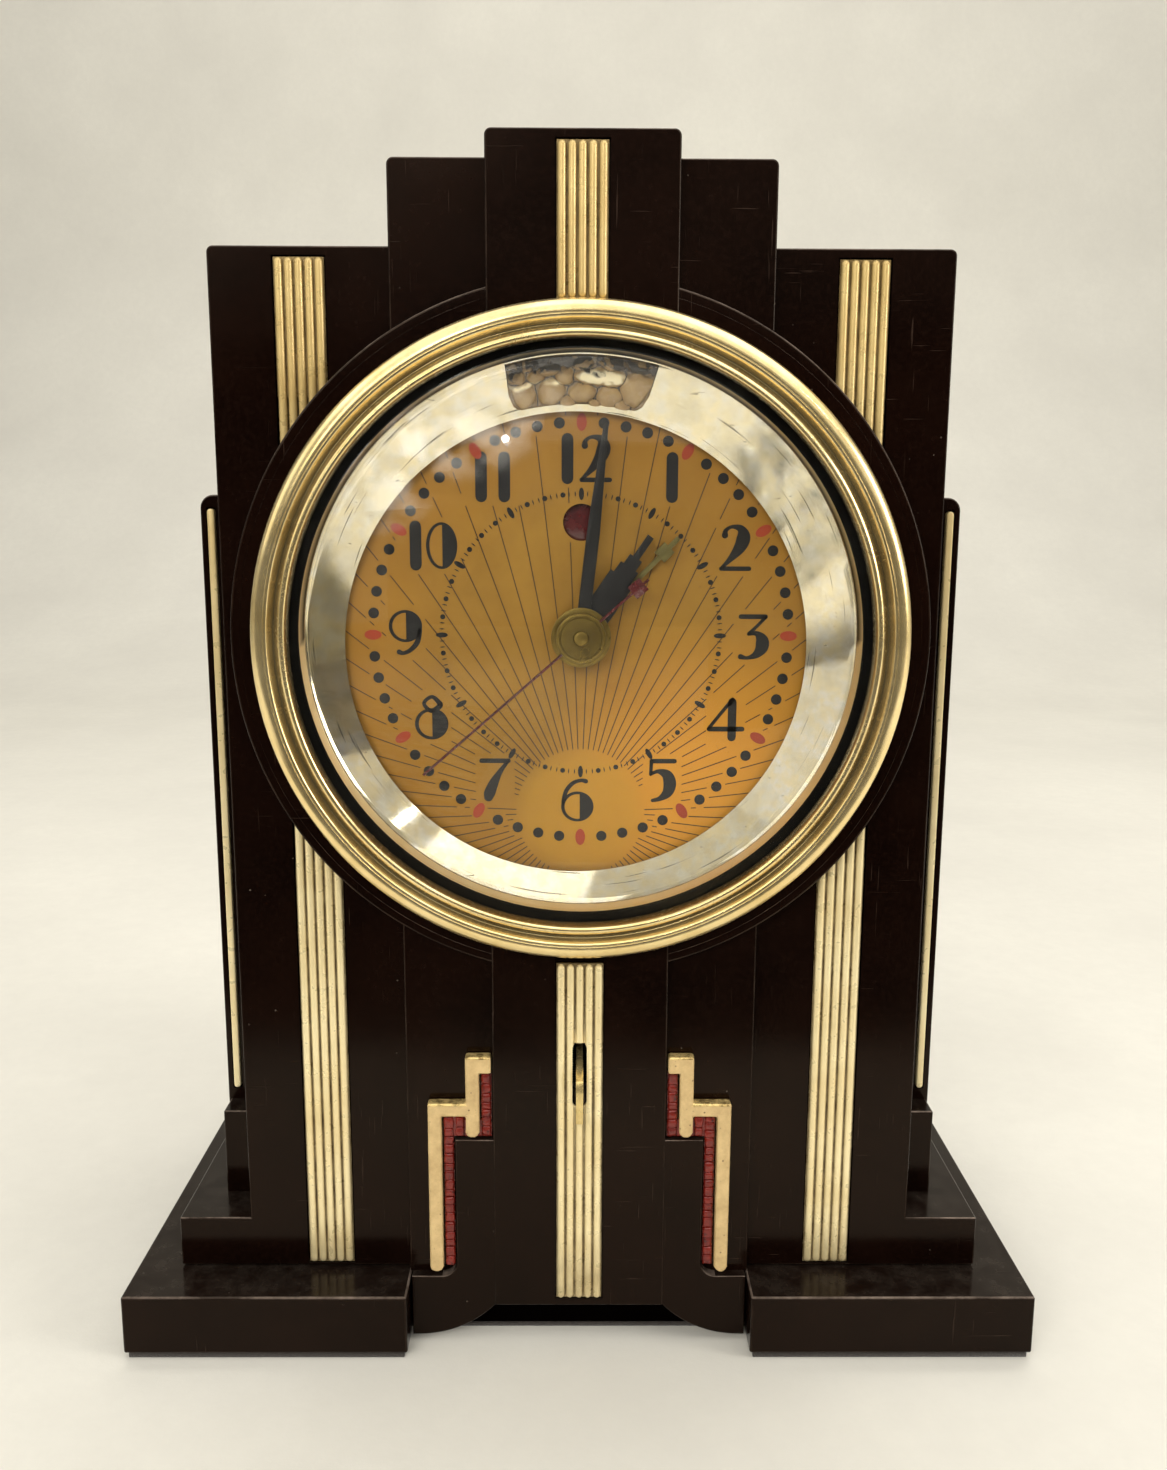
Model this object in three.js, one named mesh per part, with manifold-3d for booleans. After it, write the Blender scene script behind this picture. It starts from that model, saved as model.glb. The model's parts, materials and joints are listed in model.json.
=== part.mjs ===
// A mains-driven alarm clock in a stepped tower case, in millimetres, +Z up, its front facing -Y.
// The origin is on the surface it stands on, midway between its sides and between its glass and its knobs.
import * as THREE from 'three';
import { mergeVertices } from 'three/addons/utils/BufferGeometryUtils.js';
import Module from 'manifold-3d';

const wasm = await Module();
wasm.setup();

// Clearances and facets
const GAP = 0.3; // between two pieces that sit on or in each other
const WALL = 3; // moulded walls
const ROUND = 40; // facets of the dial's rings
const FINE = 12; // facets of arbors, knobs and screws
const FINEST = 1e-4; // to which corners are rounded
const OVER = 1; // how far a joined or cutting solid runs past the face it meets

// Base
const FELT_THICK = 0.9;
const FELT_INSET = 0.6;
const BASE_WIDTH = 154;
const BASE_DEPTH = 92;
const BASE_TOP = 11.6;
const NOTCH_WIDTH = 58;
const NOTCH_DEPTH = 8.3;

// Case blocks, each face a step in front of or behind its neighbour
const TOWER_WIDTH = 114;
const TOWER_TOP = 181.2;
const TOWER_SETBACK = 9; // from the front of the base
const CASE_SETBACK = 8; // of the case's back from the back of the base
const STEP_WIDTH = 58.4;
const STEP_TOP = 193.4;
const STEP_PROUD = 2; // in front of the towers
const CENTRE_WIDTH = 29;
const CENTRE_TOP = 197;
const CENTRE_PROUD = 2; // in front of the steps
const CENTRE_BOTTOM = 6.8;
const PLINTH_WIDTH = 138.6;
const PLINTH_TOP = 20.8;
const BLOCK_WIDTH = 126.8;
const BLOCK_TOP = 36.3;
const BLOCK_SETBACK = 17.7;
const WING_WIDTH = 127.6;
const WING_TOP = 144.3;
const WING_SETBACK = 22.7;
const WING_BACK_SETBACK = 14;

// Bracket feet beside the arch
const FOOT_TOP = 37.4;
const FOOT_STEP_X = 20.9;
const FOOT_FILLET = 2.6;
const FOOT_CURVE = 18;
const FOOT_CURVE_X = 27.5;

// Dial opening, from the case's ring to the dial
const DIAL_Z = 121.8;
const RING_RADIUS = 55;
const RING_CHAMFER = 0.8;
const RING_PROUD = 1.6; // in front of the steps
const SEAT_SINK = 2; // of the bezel's seat behind the ring's face
const BEZEL_RADIUS = 51;
const BEZEL_SEAT = 4; // width of the ledge it sits on
const BEZEL_DEPTH = 5.8;
const BEZEL_LIP = 2.7; // of brass in front of the glass's rim
// Rim, groove, bead and lip: [inwards from the outer radius, behind the bezel's front]
const BEZEL_PROFILE = [[0, 0.9], [0.4, 0.3], [1, 0.1], [1.6, 0.2], [2.4, 1.5], [3, 1.1], [3.4, 0.5], [4, 0],
  [4.7, 0], [5.4, 0.5], [5.7, 1.2]];
const GLASS_HOLD = 1.6; // of the glass's rim behind the bezel's lip
const GLASS_THICK = 1.8;
const GLASS_RISE = 6;
const DOME_STEPS = 4;
const GASKET_SHOW = 1.3; // inside the bezel's lip
const GASKET_THICK = 0.7;
const REFLECTOR_GAP = 1.1; // from the gasket in to the reflector's slope
const REFLECTOR_WIDTH = 4.8;
const REFLECTOR_DEPTH = 7.6;
const REFLECTOR_SHEET = 0.5;
const DIFFUSER_SHEET = 0.8;
const DIFFUSER_HALF_ANGLE = 16;
const DIFFUSER_MARGIN = 0.8;
const DIAL_LAP = 2.7; // of the dial behind the reflector
const DIAL_SHEET = 0.8;
const DIAL_FOOT_INSET = 1.6; // of the feet's axes from the dial's rim
const DIAL_FOOT_ANGLE = 37.7; // above and below level, in degrees
const DIAL_FOOT_R = 1;
const WINDOW_R = 2.95;
const WINDOW_RISE = 18.2;

// Reeded strips, wing rods and stepped ornaments
const STRIP_WIDTH = 7.7;
const STRIP_SINK = 0.9;
const STRIP_PROUD = 0.5;
const REEDS = 5;
const REED_STEPS = 4;
const SIDE_STRIP_X = 43.1;
const SIDE_STRIP_TOP = 179.6;
const SIDE_STRIP_BOTTOM = 12.5;
const CENTRE_STRIP_TOP = 195.4;
const CENTRE_STRIP_BOTTOM = 8.2;
const ROD_WIDTH = 1.2;
const ROD_X = 62;
const ROD_TOP = 142;
const ROD_BOTTOM = 38.6;
const ORNAMENT_HIGH = 53;
const ORNAMENT_HIGH_X = 19.1;
const ORNAMENT_HIGH_END = 38;
const ORNAMENT_CAP = 3.6;
const ORNAMENT_LOW = 45;
const ORNAMENT_LOW_X = 25.5;
const ORNAMENT_LOW_END = 13.2;
const ORNAMENT_ARM = 3.3;
const TRIM_WIDTH = 2.3;
const TRIM_THICK = 1.9;
const FILL_THICK = 1.2;
const FILL_LIFT = 1; // of the fill's foot above the trim's

// Arbor, cannon and pipes on the dial's axis, as outer radii
const ARBOR_R = 0.6;
const CANNON_R = 1.5;
const HOUR_PIPE_R = 2.4;
const ALARM_PIPE_R = 3.3;

// Hands, with their angles clockwise from twelve
const HAND_SHEET = 0.4;
const HAND_FIRST = 1; // the alarm hand in front of the dial
const HAND_PITCH = 1.15;
const HAND_EYE = 0.9; // ring of metal round each hand's hole
const MINUTE_LENGTH = 33.8;
const MINUTE_WIDTH = 2.1;
const MINUTE_TIP = 0.8;
const MINUTE_ANGLE = 6.5;
const HOUR_LENGTH = 19.5;
const HOUR_WIDTHS = [4.6, 3.4, 2.3, 1.15];
const HOUR_STEPS = [11.6, 13.6, 15.4];
const HOUR_ANGLE = 34.7;
const ALARM_LENGTH = 22.2;
const ALARM_WIDTH = 0.8;
const ALARM_SQUARE = 2.3;
const ALARM_SQUARE_AT = 19;
const ALARM_ANGLE = 44.7;
const SECOND_LENGTH = 34;
const SECOND_TAIL = 14.2;
const SECOND_WIDTH = 0.6;
const SECOND_SQUARE = 2.4;
const SECOND_SQUARE_AT = 12;
const SECOND_ANGLE = -131.2;
const HUB_R = 5.1;
const HUB_THICK = 0.4;
const CAP_R = 4;
const CAP_THICK = 0.8;
const PIP_R = 1.2;
const PIP_THICK = 0.5;

// Movement plates and what joins them
const PLATE_SHEET = 1.2;
const PLATE_WIDTH = 72;
const PLATE_HEIGHT = 70;
const PLATE_SETBACK = 7; // of the front plate from the dial's face
const PLATE_SPACE = 7.4;
const STRAP_HEIGHT = 12;
const MOVEMENT_SCREW_INSET = 6.6; // from the side of the tower
const PILLAR_R = 2.2;
const PILLAR_INSET = 4.5;
const STUD_R = 1;
const SHAFT_R = 1.25;
const PIVOT_R = 0.8;
const WHEEL_SHEET = 0.9;
const LAYER = 1.3; // from one wheel to the next
const PINION_OVERHANG = 0.25;

// Wheels: tooth counts, and how far and at what angle their arbors stand from the arbor they mesh with
const CANNON_TEETH = 12;
const MINUTE_WHEEL_TEETH = 36;
const MINUTE_PINION_TEETH = 10;
const HOUR_TEETH = 40;
const MOTION_DISTANCE = 16;
const MOTION_ANGLE = -30;
const TIME_PINION_TEETH = 12;
const TIME_ANGLE = -62;
const ALARM_TEETH = 40;
const ALARM_PINION_TEETH = 10;
const ALARM_DISTANCE = 24;
const ALARM_SHAFT_ANGLE = 205;
const SECOND_WHEEL_TEETH = 36;
const ROTOR_PINION_TEETH = 10;
const ROTOR_DISTANCE = 21.85;
const ROTOR_ANGLE = -90;
const SECOND_PINION_TEETH = 8;
const THIRD_TEETH = 48;
const THIRD_PINION_TEETH = 8;
const CENTRE_TEETH = 80;
const THIRD_DISTANCE = 20;
const THIRD_ANGLE = 150;

// Tooth form, in modules and in shares of the pitch
const TIP_MODULES = 0.8;
const ROOT_MODULES = 1.1;
const TIP_SHARE = 0.11;
const ROOT_SHARE = 0.27;

// Motor
const CORE_WIDTH = 37;
const CORE_BOTTOM = 66;
const CORE_YOKE = 8;
const CORE_LEG = 7.5;
const CORE_STACK = 10;
const CORE_BRIDGE = 4;
const COIL_WALL = 7;
const CAPSULE_R = 12.6;
const CAPSULE_LENGTH = 15;
const CAPSULE_NOSE_R = 5;
const CAPSULE_FRONT = 1; // in front of the core
const MOTOR_SETBACK = 3.4; // of the core from the back plate
const MOTOR_POST_R = 2;
const MOTOR_POST_X = 15.5;
const MOTOR_POST_Z = 90.5;
const REED_LENGTH = 32;
const REED_TOP = 90;
const REED_SHEET = 0.8;
const REED_WIDTH = 5.6;
const REED_FOOT = 7;
const REED_STAND = 2;

// Back of the case
const COVER_SHEET = 2;
const COVER_SINK = 1;
const VENTS = 5;
const VENT_WIDTH = 22;
const VENT_HEIGHT = 3;
const VENT_PITCH = 7;
const VENT_FIRST = 148;
const KNOB_R = 7.5;
const KNOB_LENGTH = 10.5;
const KNOB_CLEAR = 1;
const KNOB_CHAMFER = 1;
const GROMMET_R = 4.7;
const GROMMET_BORE = 3;
const GROMMET_FLANGE = 6.6;
const GROMMET_FLANGE_THICK = 1.5;
const GROMMET_Z = 26;
const POST_R = 4;
const POST_INSET = 6.4; // from the side of the tower
const COVER_SCREW_Z = 60;
const BASE_SCREW_Y = 8;
const BASE_POST_HEIGHT = 14;
const SCREW_R = 1.3;
const SCREW_HEAD_R = 3;
const SCREW_HEAD = 1.6;
const SCREW_LENGTH = 11;
const MOVEMENT_SCREW_LENGTH = 7;

// Power-failure flag and its reset lever
const FLAG_R = 3.5;
const FLAG_SHEET = 0.4;
const FLAG_ARM = 24;
const FLAG_ARM_WIDTH = 2.2;
const FLAG_ARBOR_R = 1;
const RESET_LENGTH = 13;
const RESET_WIDTH = 3.4;
const RESET_SHEET = 1.6;

// Front lever, its bracket and its switch
const SLOT_WIDTH = 2.4;
const SLOT_TOP = 55.1;
const SLOT_BOTTOM = 43.4;
const LEVER_SHEET = 1.2;
const LEVER_HEIGHT = 2.5;
const LEVER_SLOPE = 12; // down towards the front, in degrees
const LEVER_PIVOT = 8; // behind the front wall's inner face
const LEVER_REACH = 1.8; // of the bend in front of the centre strip
const LEVER_DROP = 5.4;
const LEVER_NOSE = 1.4;
const LEVER_CHAMFER = 1;
const LEVER_TAPER = 0.4; // of the bend towards its tip
const LEVER_Z = 52.5;
const LEVER_TAIL = 12;
const LEVER_PIN_R = 1;
const LEVER_EYE = 1.6;
const BRACKET_HALF = 7;
const BRACKET_SHEET = 1.2;
const BRACKET_RISE = 9.3;
const BRACKET_EAR = 10;
const BRACKET_SHELF = 26;
const BRACKET_LUG = 6;
const SWITCH_WIDTH = 11;
const SWITCH_HEIGHT = 3.6;
const SWITCH_DEPTH = 9;
const BUTTON_R = 1.2;
const BUTTON_RISE = 1.4;

// Lamp
const LAMP_RISE = 42; // above the dial's centre
const LAMP_SETBACK = 7.5; // of the bulb's centre from the dial's face
const BULB_R = 5.2;
const BULB_BASE_R = 4.4;
const BULB_BASE = 9;
const SOCKET_R = 6.2;
const SOCKET_LENGTH = 13;
const SOCKET_CLEAR = 1;
const LAMP_BRACKET_HALF = 9;
const LAMP_BRACKET_FOOT = 8;

// Planes across the clock, from front to back
const baseFront = -BASE_DEPTH / 2;
const baseBack = BASE_DEPTH / 2;
const towerFront = baseFront + TOWER_SETBACK;
const stepFront = towerFront - STEP_PROUD;
const centreFront = stepFront - CENTRE_PROUD;
const wallBack = towerFront + WALL;
const caseBack = baseBack - CASE_SETBACK;
const caseBottom = BASE_TOP + GAP;
const notchBack = baseFront + NOTCH_DEPTH;
const ringFront = stepFront - RING_PROUD;
const seat = ringFront + SEAT_SINK;
const flangeFront = seat - GAP - REFLECTOR_SHEET;
const bezelBack = flangeFront - GAP;
const bezelFront = bezelBack - BEZEL_DEPTH;
const gasketBack = flangeFront - GAP;
const glassBack = gasketBack - GASKET_THICK - GAP;
const glassFront = glassBack - GLASS_THICK;
const dialFront = flangeFront + REFLECTOR_DEPTH + GAP;
const dialBack = dialFront + DIAL_SHEET;
const frontPlate = dialFront + PLATE_SETBACK;
const backPlate = frontPlate + PLATE_SHEET + PLATE_SPACE;
const plateBack = backPlate + PLATE_SHEET;
const coverBack = caseBack - COVER_SINK;
const coverFront = coverBack - COVER_SHEET;
const knobFront = coverBack + KNOB_CLEAR;

// Radii of the dial's rings, each from its neighbour further out
const [bezelLip] = BEZEL_PROFILE[BEZEL_PROFILE.length - 1];
const bezelInner = BEZEL_RADIUS - bezelLip;
const openingRadius = BEZEL_RADIUS - BEZEL_SEAT;
const glassRadius = bezelInner + GLASS_HOLD;
const gasketInner = bezelInner - GASKET_SHOW;
const reflectorOuter = gasketInner - REFLECTOR_GAP;
const reflectorInner = reflectorOuter - REFLECTOR_WIDTH;
const dialRadius = reflectorInner + DIAL_LAP;

// Screws, in from the sides of the tower
const movementScrewX = TOWER_WIDTH / 2 - MOVEMENT_SCREW_INSET;
const postX = TOWER_WIDTH / 2 - POST_INSET;

// Finishes
const looks = {
  bakelite: { color: 0x2a1710, roughness: 0.35, metalness: 0 },
  felt: { color: 0x17130f, roughness: 1, metalness: 0 },
  ivory: { color: 0xe6d7a4, roughness: 0.5, metalness: 0 },
  enamel: { color: 0xa8341f, roughness: 0.5, metalness: 0 },
  brass: { color: 0xb59a52, roughness: 0.3, metalness: 1 },
  oldBrass: { color: 0x8a7434, roughness: 0.4, metalness: 1 },
  mirror: { color: 0xe6e6e2, roughness: 0.08, metalness: 1 },
  steel: { color: 0x9a9a98, roughness: 0.35, metalness: 1 },
  copper: { color: 0xa65f35, roughness: 0.35, metalness: 1 },
  glass: { color: 0xffffff, roughness: 0.03, metalness: 0 },
  amber: { color: 0xb08a4c, roughness: 0.3, metalness: 0 },
  dial: { color: 0xc99a42, roughness: 0.5, metalness: 0 },
  black: { color: 0x14120f, roughness: 0.5, metalness: 0 },
  red: { color: 0x7d1712, roughness: 0.3, metalness: 0 },
};

// A closed geometry as a solid that can be joined and cut. Its corners are rounded, so that faces meant to
// lie in one plane do.
function solid(geometry) {
  const bare = new THREE.BufferGeometry();
  const rounded = Array.from(geometry.getAttribute('position').array,
    (value) => Math.round(value / FINEST) * FINEST);
  bare.setAttribute('position', new THREE.Float32BufferAttribute(rounded, 3));
  bare.setIndex(geometry.index);
  const welded = mergeVertices(bare, FINEST);
  const corners = welded.index.array;
  const triangles = [];
  for (let i = 0; i < corners.length; i += 3) {
    const [a, b, c] = corners.slice(i, i + 3);
    if (a !== b && b !== c && c !== a) triangles.push(a, b, c);
  }
  const make = (order) => new wasm.Manifold(new wasm.Mesh({
    numProp: 3,
    vertProperties: welded.attributes.position.array,
    triVerts: new Uint32Array(order),
  }));
  const made = make(triangles);
  return made.volume() < 0 ? make(triangles.reverse()) : made;
}

const join = (...solids) => solids.reduce((a, b) => a.add(b));
const cut = (body, ...tools) => tools.reduce((a, b) => a.subtract(b), body);

// A box between two corners
function box(x0, x1, y0, y1, z0, z1) {
  const geometry = new THREE.BoxGeometry(x1 - x0, y1 - y0, z1 - z0);
  return solid(geometry.translate((x0 + x1) / 2, (y0 + y1) / 2, (z0 + z1) / 2));
}

// A box that is symmetric about the clock's middle plane
const wide = (width, y0, y1, z0, z1) => box(-width / 2, width / 2, y0, y1, z0, z1);

// A round bar along Y
function rod(x, z, radius, y0, y1, facets = FINE) {
  const geometry = new THREE.CylinderGeometry(radius, radius, y1 - y0, facets);
  return solid(geometry.translate(x, (y0 + y1) / 2, z));
}

// A round bar along Z
function upright(x, y, radius, z0, z1) {
  const geometry = new THREE.CylinderGeometry(radius, radius, z1 - z0, FINE);
  return solid(geometry.rotateX(Math.PI / 2).translate(x, y, (z0 + z1) / 2));
}

// A round bar along X
function crossbar(radius, x0, x1, y, z) {
  const geometry = new THREE.CylinderGeometry(radius, radius, x1 - x0, FINE);
  return solid(geometry.rotateZ(Math.PI / 2).translate((x0 + x1) / 2, y, z));
}

// An outline drawn as seen from the front, between two planes across Y
function slab(shape, y0, y1, curveSegments = FINE) {
  const geometry = new THREE.ExtrudeGeometry(shape, { depth: y1 - y0, bevelEnabled: false, curveSegments });
  return solid(geometry.rotateX(Math.PI / 2).translate(0, y1, 0));
}

// An outline drawn in Y and Z as seen from the right, between two planes across X
function sideSlab(shape, x0, x1) {
  const geometry = new THREE.ExtrudeGeometry(shape, { depth: x1 - x0, bevelEnabled: false,
    curveSegments: FINE });
  geometry.applyMatrix4(new THREE.Matrix4().set(0, 0, 1, 0, 1, 0, 0, 0, 0, 1, 0, 0, 0, 0, 0, 1));
  return solid(geometry.translate(x0, 0, 0));
}

// A turned piece on the Y axis, from [radius, y] corners
function turned(corners, facets = ROUND) {
  const points = corners.map(([radius, y]) => new THREE.Vector2(radius, y));
  return solid(new THREE.LatheGeometry(points, facets));
}

// A turned ring, whose corners close on themselves
const turnedRing = (corners, facets = ROUND) => turned([...corners, corners[0]], facets);

// A flat ring or disc on the Y axis
const washer = (outer, inner, y0, y1, facets = ROUND) => turnedRing(
  [[inner, y0], [outer, y0], [outer, y1], [inner, y1]], facets);
const disc = (radius, y0, y1, facets = ROUND) => turned([[0, y0], [radius, y0], [radius, y1], [0, y1]],
  facets);

function outline(points) {
  return new THREE.Shape(points.map(([x, y]) => new THREE.Vector2(x, y)));
}

const radians = THREE.MathUtils.degToRad;
const polar = (distance, degrees) => [distance * Math.cos(radians(degrees)),
  distance * Math.sin(radians(degrees))];
const mirrored = (body) => body.mirror([1, 0, 0]);

// The clock and its movement group, whose origin is the dial's centre line
const clock = new THREE.Group();
const works = new THREE.Group();
works.position.z = DIAL_Z;
clock.add(works);

function place(parent, name, body, look, at = [0, 0], turn = 0) {
  const { vertProperties, triVerts } = body.getMesh();
  const geometry = new THREE.BufferGeometry();
  geometry.setAttribute('position', new THREE.BufferAttribute(new Float32Array(vertProperties), 3));
  geometry.setIndex(new THREE.BufferAttribute(new Uint32Array(triVerts), 1));
  geometry.computeVertexNormals();
  const mesh = new THREE.Mesh(geometry, new THREE.MeshStandardMaterial(looks[look]));
  mesh.name = name;
  mesh.position.set(at[0], 0, at[1]);
  mesh.rotation.y = radians(turn);
  parent.add(mesh);
}

// Sides: -1 is the left as seen from the front, 1 the right
const sides = [['left', -1], ['right', 1]];
const onSide = (side, body) => (side < 0 ? mirrored(body) : body);

// Where the arbors stand, from the dial's centre
const add = ([a, b], [c, d]) => [a + c, b + d];
const minuteWheelAt = polar(MOTION_DISTANCE, MOTION_ANGLE);
const motionModule = (2 * MOTION_DISTANCE) / (CANNON_TEETH + MINUTE_WHEEL_TEETH);
const hourModule = (2 * MOTION_DISTANCE) / (MINUTE_PINION_TEETH + HOUR_TEETH);
const timeDistance = (motionModule * (MINUTE_WHEEL_TEETH + TIME_PINION_TEETH)) / 2;
const timeAt = add(minuteWheelAt, polar(timeDistance, TIME_ANGLE));
const alarmModule = (2 * ALARM_DISTANCE) / (ALARM_TEETH + ALARM_PINION_TEETH);
const alarmAt = polar(ALARM_DISTANCE, ALARM_SHAFT_ANGLE);
const rotorModule = (2 * ROTOR_DISTANCE) / (SECOND_WHEEL_TEETH + ROTOR_PINION_TEETH);
const rotorAt = polar(ROTOR_DISTANCE, ROTOR_ANGLE);
const thirdModule = (2 * THIRD_DISTANCE) / (SECOND_PINION_TEETH + THIRD_TEETH);
const centreModule = (2 * THIRD_DISTANCE) / (THIRD_PINION_TEETH + CENTRE_TEETH);
const thirdAt = polar(THIRD_DISTANCE, THIRD_ANGLE);
const flagAt = [FLAG_ARM, WINDOW_RISE];

// Layers of wheels: in front of the front plate, then between the plates
const flagFront = dialBack + GAP;
const alarmLayer = flagFront + FLAG_SHEET + GAP;
const hourLayer = alarmLayer + LAYER;
const minuteLayer = hourLayer + LAYER + 2 * PINION_OVERHANG;
const centreLayer = frontPlate + PLATE_SHEET + 2 * GAP;
const thirdLayer = centreLayer + LAYER + 2 * PINION_OVERHANG;
const secondLayer = thirdLayer + LAYER + 2 * PINION_OVERHANG;

// Case and base
function caseCavity() {
  const inside = (width, top) => wide(width - 2 * WALL, wallBack, caseBack + WALL, 0, top - WALL);
  return join(inside(TOWER_WIDTH, TOWER_TOP), inside(STEP_WIDTH, STEP_TOP), inside(CENTRE_WIDTH, CENTRE_TOP));
}

// One bracket foot, right of the arch: a stepped outline with a hollow fillet and a quarter-round sole
function footOutline() {
  const side = NOTCH_WIDTH / 2 - GAP;
  const inner = CENTRE_WIDTH / 2 - OVER;
  const sole = FELT_THICK + GAP;
  const shelf = caseBottom + GAP;
  const sweep = Math.acos((FOOT_CURVE_X - inner) / FOOT_CURVE);
  const shape = new THREE.Shape();
  shape.moveTo(inner, FOOT_TOP);
  shape.lineTo(FOOT_STEP_X, FOOT_TOP);
  shape.absarc(FOOT_STEP_X + FOOT_FILLET, shelf + FOOT_FILLET, FOOT_FILLET, Math.PI, 1.5 * Math.PI, false);
  shape.lineTo(side, shelf);
  shape.lineTo(side, sole);
  shape.absarc(FOOT_CURVE_X, sole + FOOT_CURVE, FOOT_CURVE, 1.5 * Math.PI, Math.PI + sweep, true);
  return shape;
}

function reedGroove(x, front, bottom, top) {
  const half = STRIP_WIDTH / 2 + GAP;
  return box(x - half, x + half, front - WALL, front + STRIP_SINK, bottom - GAP, top + GAP);
}

function caseShell() {
  let body = join(
    wide(TOWER_WIDTH, towerFront, caseBack, caseBottom, TOWER_TOP),
    wide(STEP_WIDTH, stepFront, caseBack, caseBottom, STEP_TOP),
    wide(CENTRE_WIDTH, centreFront, caseBack, caseBottom, CENTRE_TOP),
    wide(CENTRE_WIDTH, centreFront, notchBack - GAP, CENTRE_BOTTOM, CENTRE_TOP),
    wide(PLINTH_WIDTH, towerFront, caseBack, caseBottom, PLINTH_TOP),
    wide(BLOCK_WIDTH, baseFront + BLOCK_SETBACK, caseBack, caseBottom, BLOCK_TOP),
    wide(WING_WIDTH, baseFront + WING_SETBACK, baseBack - WING_BACK_SETBACK, caseBottom, WING_TOP),
  );
  const foot = slab(footOutline(), centreFront, notchBack - GAP);
  body = join(body, foot, mirrored(foot));
  for (const [, side] of sides) {
    const groove = reedGroove(side * SIDE_STRIP_X, towerFront, SIDE_STRIP_BOTTOM, SIDE_STRIP_TOP);
    const rodHalf = ROD_WIDTH / 2 + GAP;
    const wingFront = baseFront + WING_SETBACK;
    const rodGroove = box(side * ROD_X - rodHalf, side * ROD_X + rodHalf, wingFront - WALL,
      wingFront + STRIP_SINK, ROD_BOTTOM - GAP, ROD_TOP + GAP);
    body = cut(body, groove, rodGroove);
  }
  const ring = turned([[0, wallBack], [RING_RADIUS, wallBack], [RING_RADIUS, ringFront + RING_CHAMFER],
    [RING_RADIUS - RING_CHAMFER, ringFront], [0, ringFront]]).translate([0, 0, DIAL_Z]);
  const posts = [];
  for (const [, side] of sides) {
    posts.push(rod(side * postX, COVER_SCREW_Z, POST_R, wallBack - OVER, coverFront - GAP));
    posts.push(upright(side * postX, BASE_SCREW_Y, POST_R, caseBottom, caseBottom + BASE_POST_HEIGHT));
    const inner = side * (movementScrewX - POST_R / 2);
    const outer = side * (TOWER_WIDTH / 2 - OVER);
    posts.push(box(Math.min(inner, outer), Math.max(inner, outer), wallBack - OVER, frontPlate - GAP,
      DIAL_Z - POST_R, DIAL_Z + POST_R));
  }
  body = join(cut(join(body, ring), caseCavity()), ...posts);
  const screwHole = SCREW_R + GAP;
  for (const [, side] of sides) {
    body = cut(body,
      rod(side * postX, COVER_SCREW_Z, screwHole, coverFront - SCREW_LENGTH, coverFront),
      upright(side * postX, BASE_SCREW_Y, screwHole, 0, caseBottom + BASE_POST_HEIGHT - WALL / 2),
      rod(side * movementScrewX, DIAL_Z, screwHole, wallBack, frontPlate));
  }
  const centred = (piece) => piece.translate([0, 0, DIAL_Z]);
  const slot = wide(SLOT_WIDTH, centreFront - WALL, wallBack + OVER, SLOT_BOTTOM, SLOT_TOP);
  const strip = reedGroove(0, centreFront, CENTRE_STRIP_BOTTOM, CENTRE_STRIP_TOP);
  return cut(body, strip, slot, centred(disc(openingRadius, centreFront - WALL, wallBack + WALL)),
    centred(disc(BEZEL_RADIUS + GAP, centreFront - WALL, seat)));
}

function baseSlab() {
  const bottom = FELT_THICK + GAP;
  let body = cut(wide(BASE_WIDTH, baseFront, baseBack, bottom, BASE_TOP),
    wide(NOTCH_WIDTH, baseFront - OVER, notchBack, 0, BASE_TOP + OVER));
  for (const [, side] of sides) {
    body = cut(body,
      upright(side * postX, BASE_SCREW_Y, SCREW_R + GAP, 0, BASE_TOP + OVER),
      upright(side * postX, BASE_SCREW_Y, SCREW_HEAD_R + GAP, 0, bottom + SCREW_HEAD + GAP));
  }
  return body;
}

function baseFelt() {
  const width = BASE_WIDTH - 2 * FELT_INSET;
  const notch = wide(NOTCH_WIDTH + 2 * FELT_INSET, baseFront - OVER, notchBack + FELT_INSET, -OVER,
    FELT_THICK + OVER);
  return cut(wide(width, baseFront + FELT_INSET, baseBack - FELT_INSET, 0, FELT_THICK), notch);
}

place(clock, 'case_shell', caseShell(), 'bakelite');
place(clock, 'base_slab', baseSlab(), 'bakelite');
place(clock, 'base_felt', baseFelt(), 'felt');

// Reeded strips: half-round reeds side by side on a flat back
function reededStrip(x, front, bottom, top) {
  const back = front + STRIP_SINK - GAP;
  const pitch = STRIP_WIDTH / REEDS;
  const rise = STRIP_PROUD + STRIP_SINK / 2;
  const shape = new THREE.Shape();
  const left = x - STRIP_WIDTH / 2;
  shape.moveTo(left, back);
  for (let step = 0; step <= REEDS * REED_STEPS; step += 1) {
    const across = (step % REED_STEPS) / REED_STEPS;
    shape.lineTo(left + (step * pitch) / REED_STEPS, front - STRIP_PROUD + rise * (2 * across - 1) ** 2);
  }
  shape.lineTo(left + STRIP_WIDTH, back);
  const geometry = new THREE.ExtrudeGeometry(shape, { depth: top - bottom, bevelEnabled: false });
  return solid(geometry.translate(0, 0, bottom));
}

const ringClear = disc(RING_RADIUS + GAP, baseFront - WALL, wallBack).translate([0, 0, DIAL_Z]);
const bezelClear = disc(BEZEL_RADIUS + GAP, baseFront - WALL, wallBack).translate([0, 0, DIAL_Z]);
const aboveDial = wide(BASE_WIDTH, baseFront - WALL, baseBack, DIAL_Z, CENTRE_TOP + WALL);
const belowDial = wide(BASE_WIDTH, baseFront - WALL, baseBack, -WALL, DIAL_Z);

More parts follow.
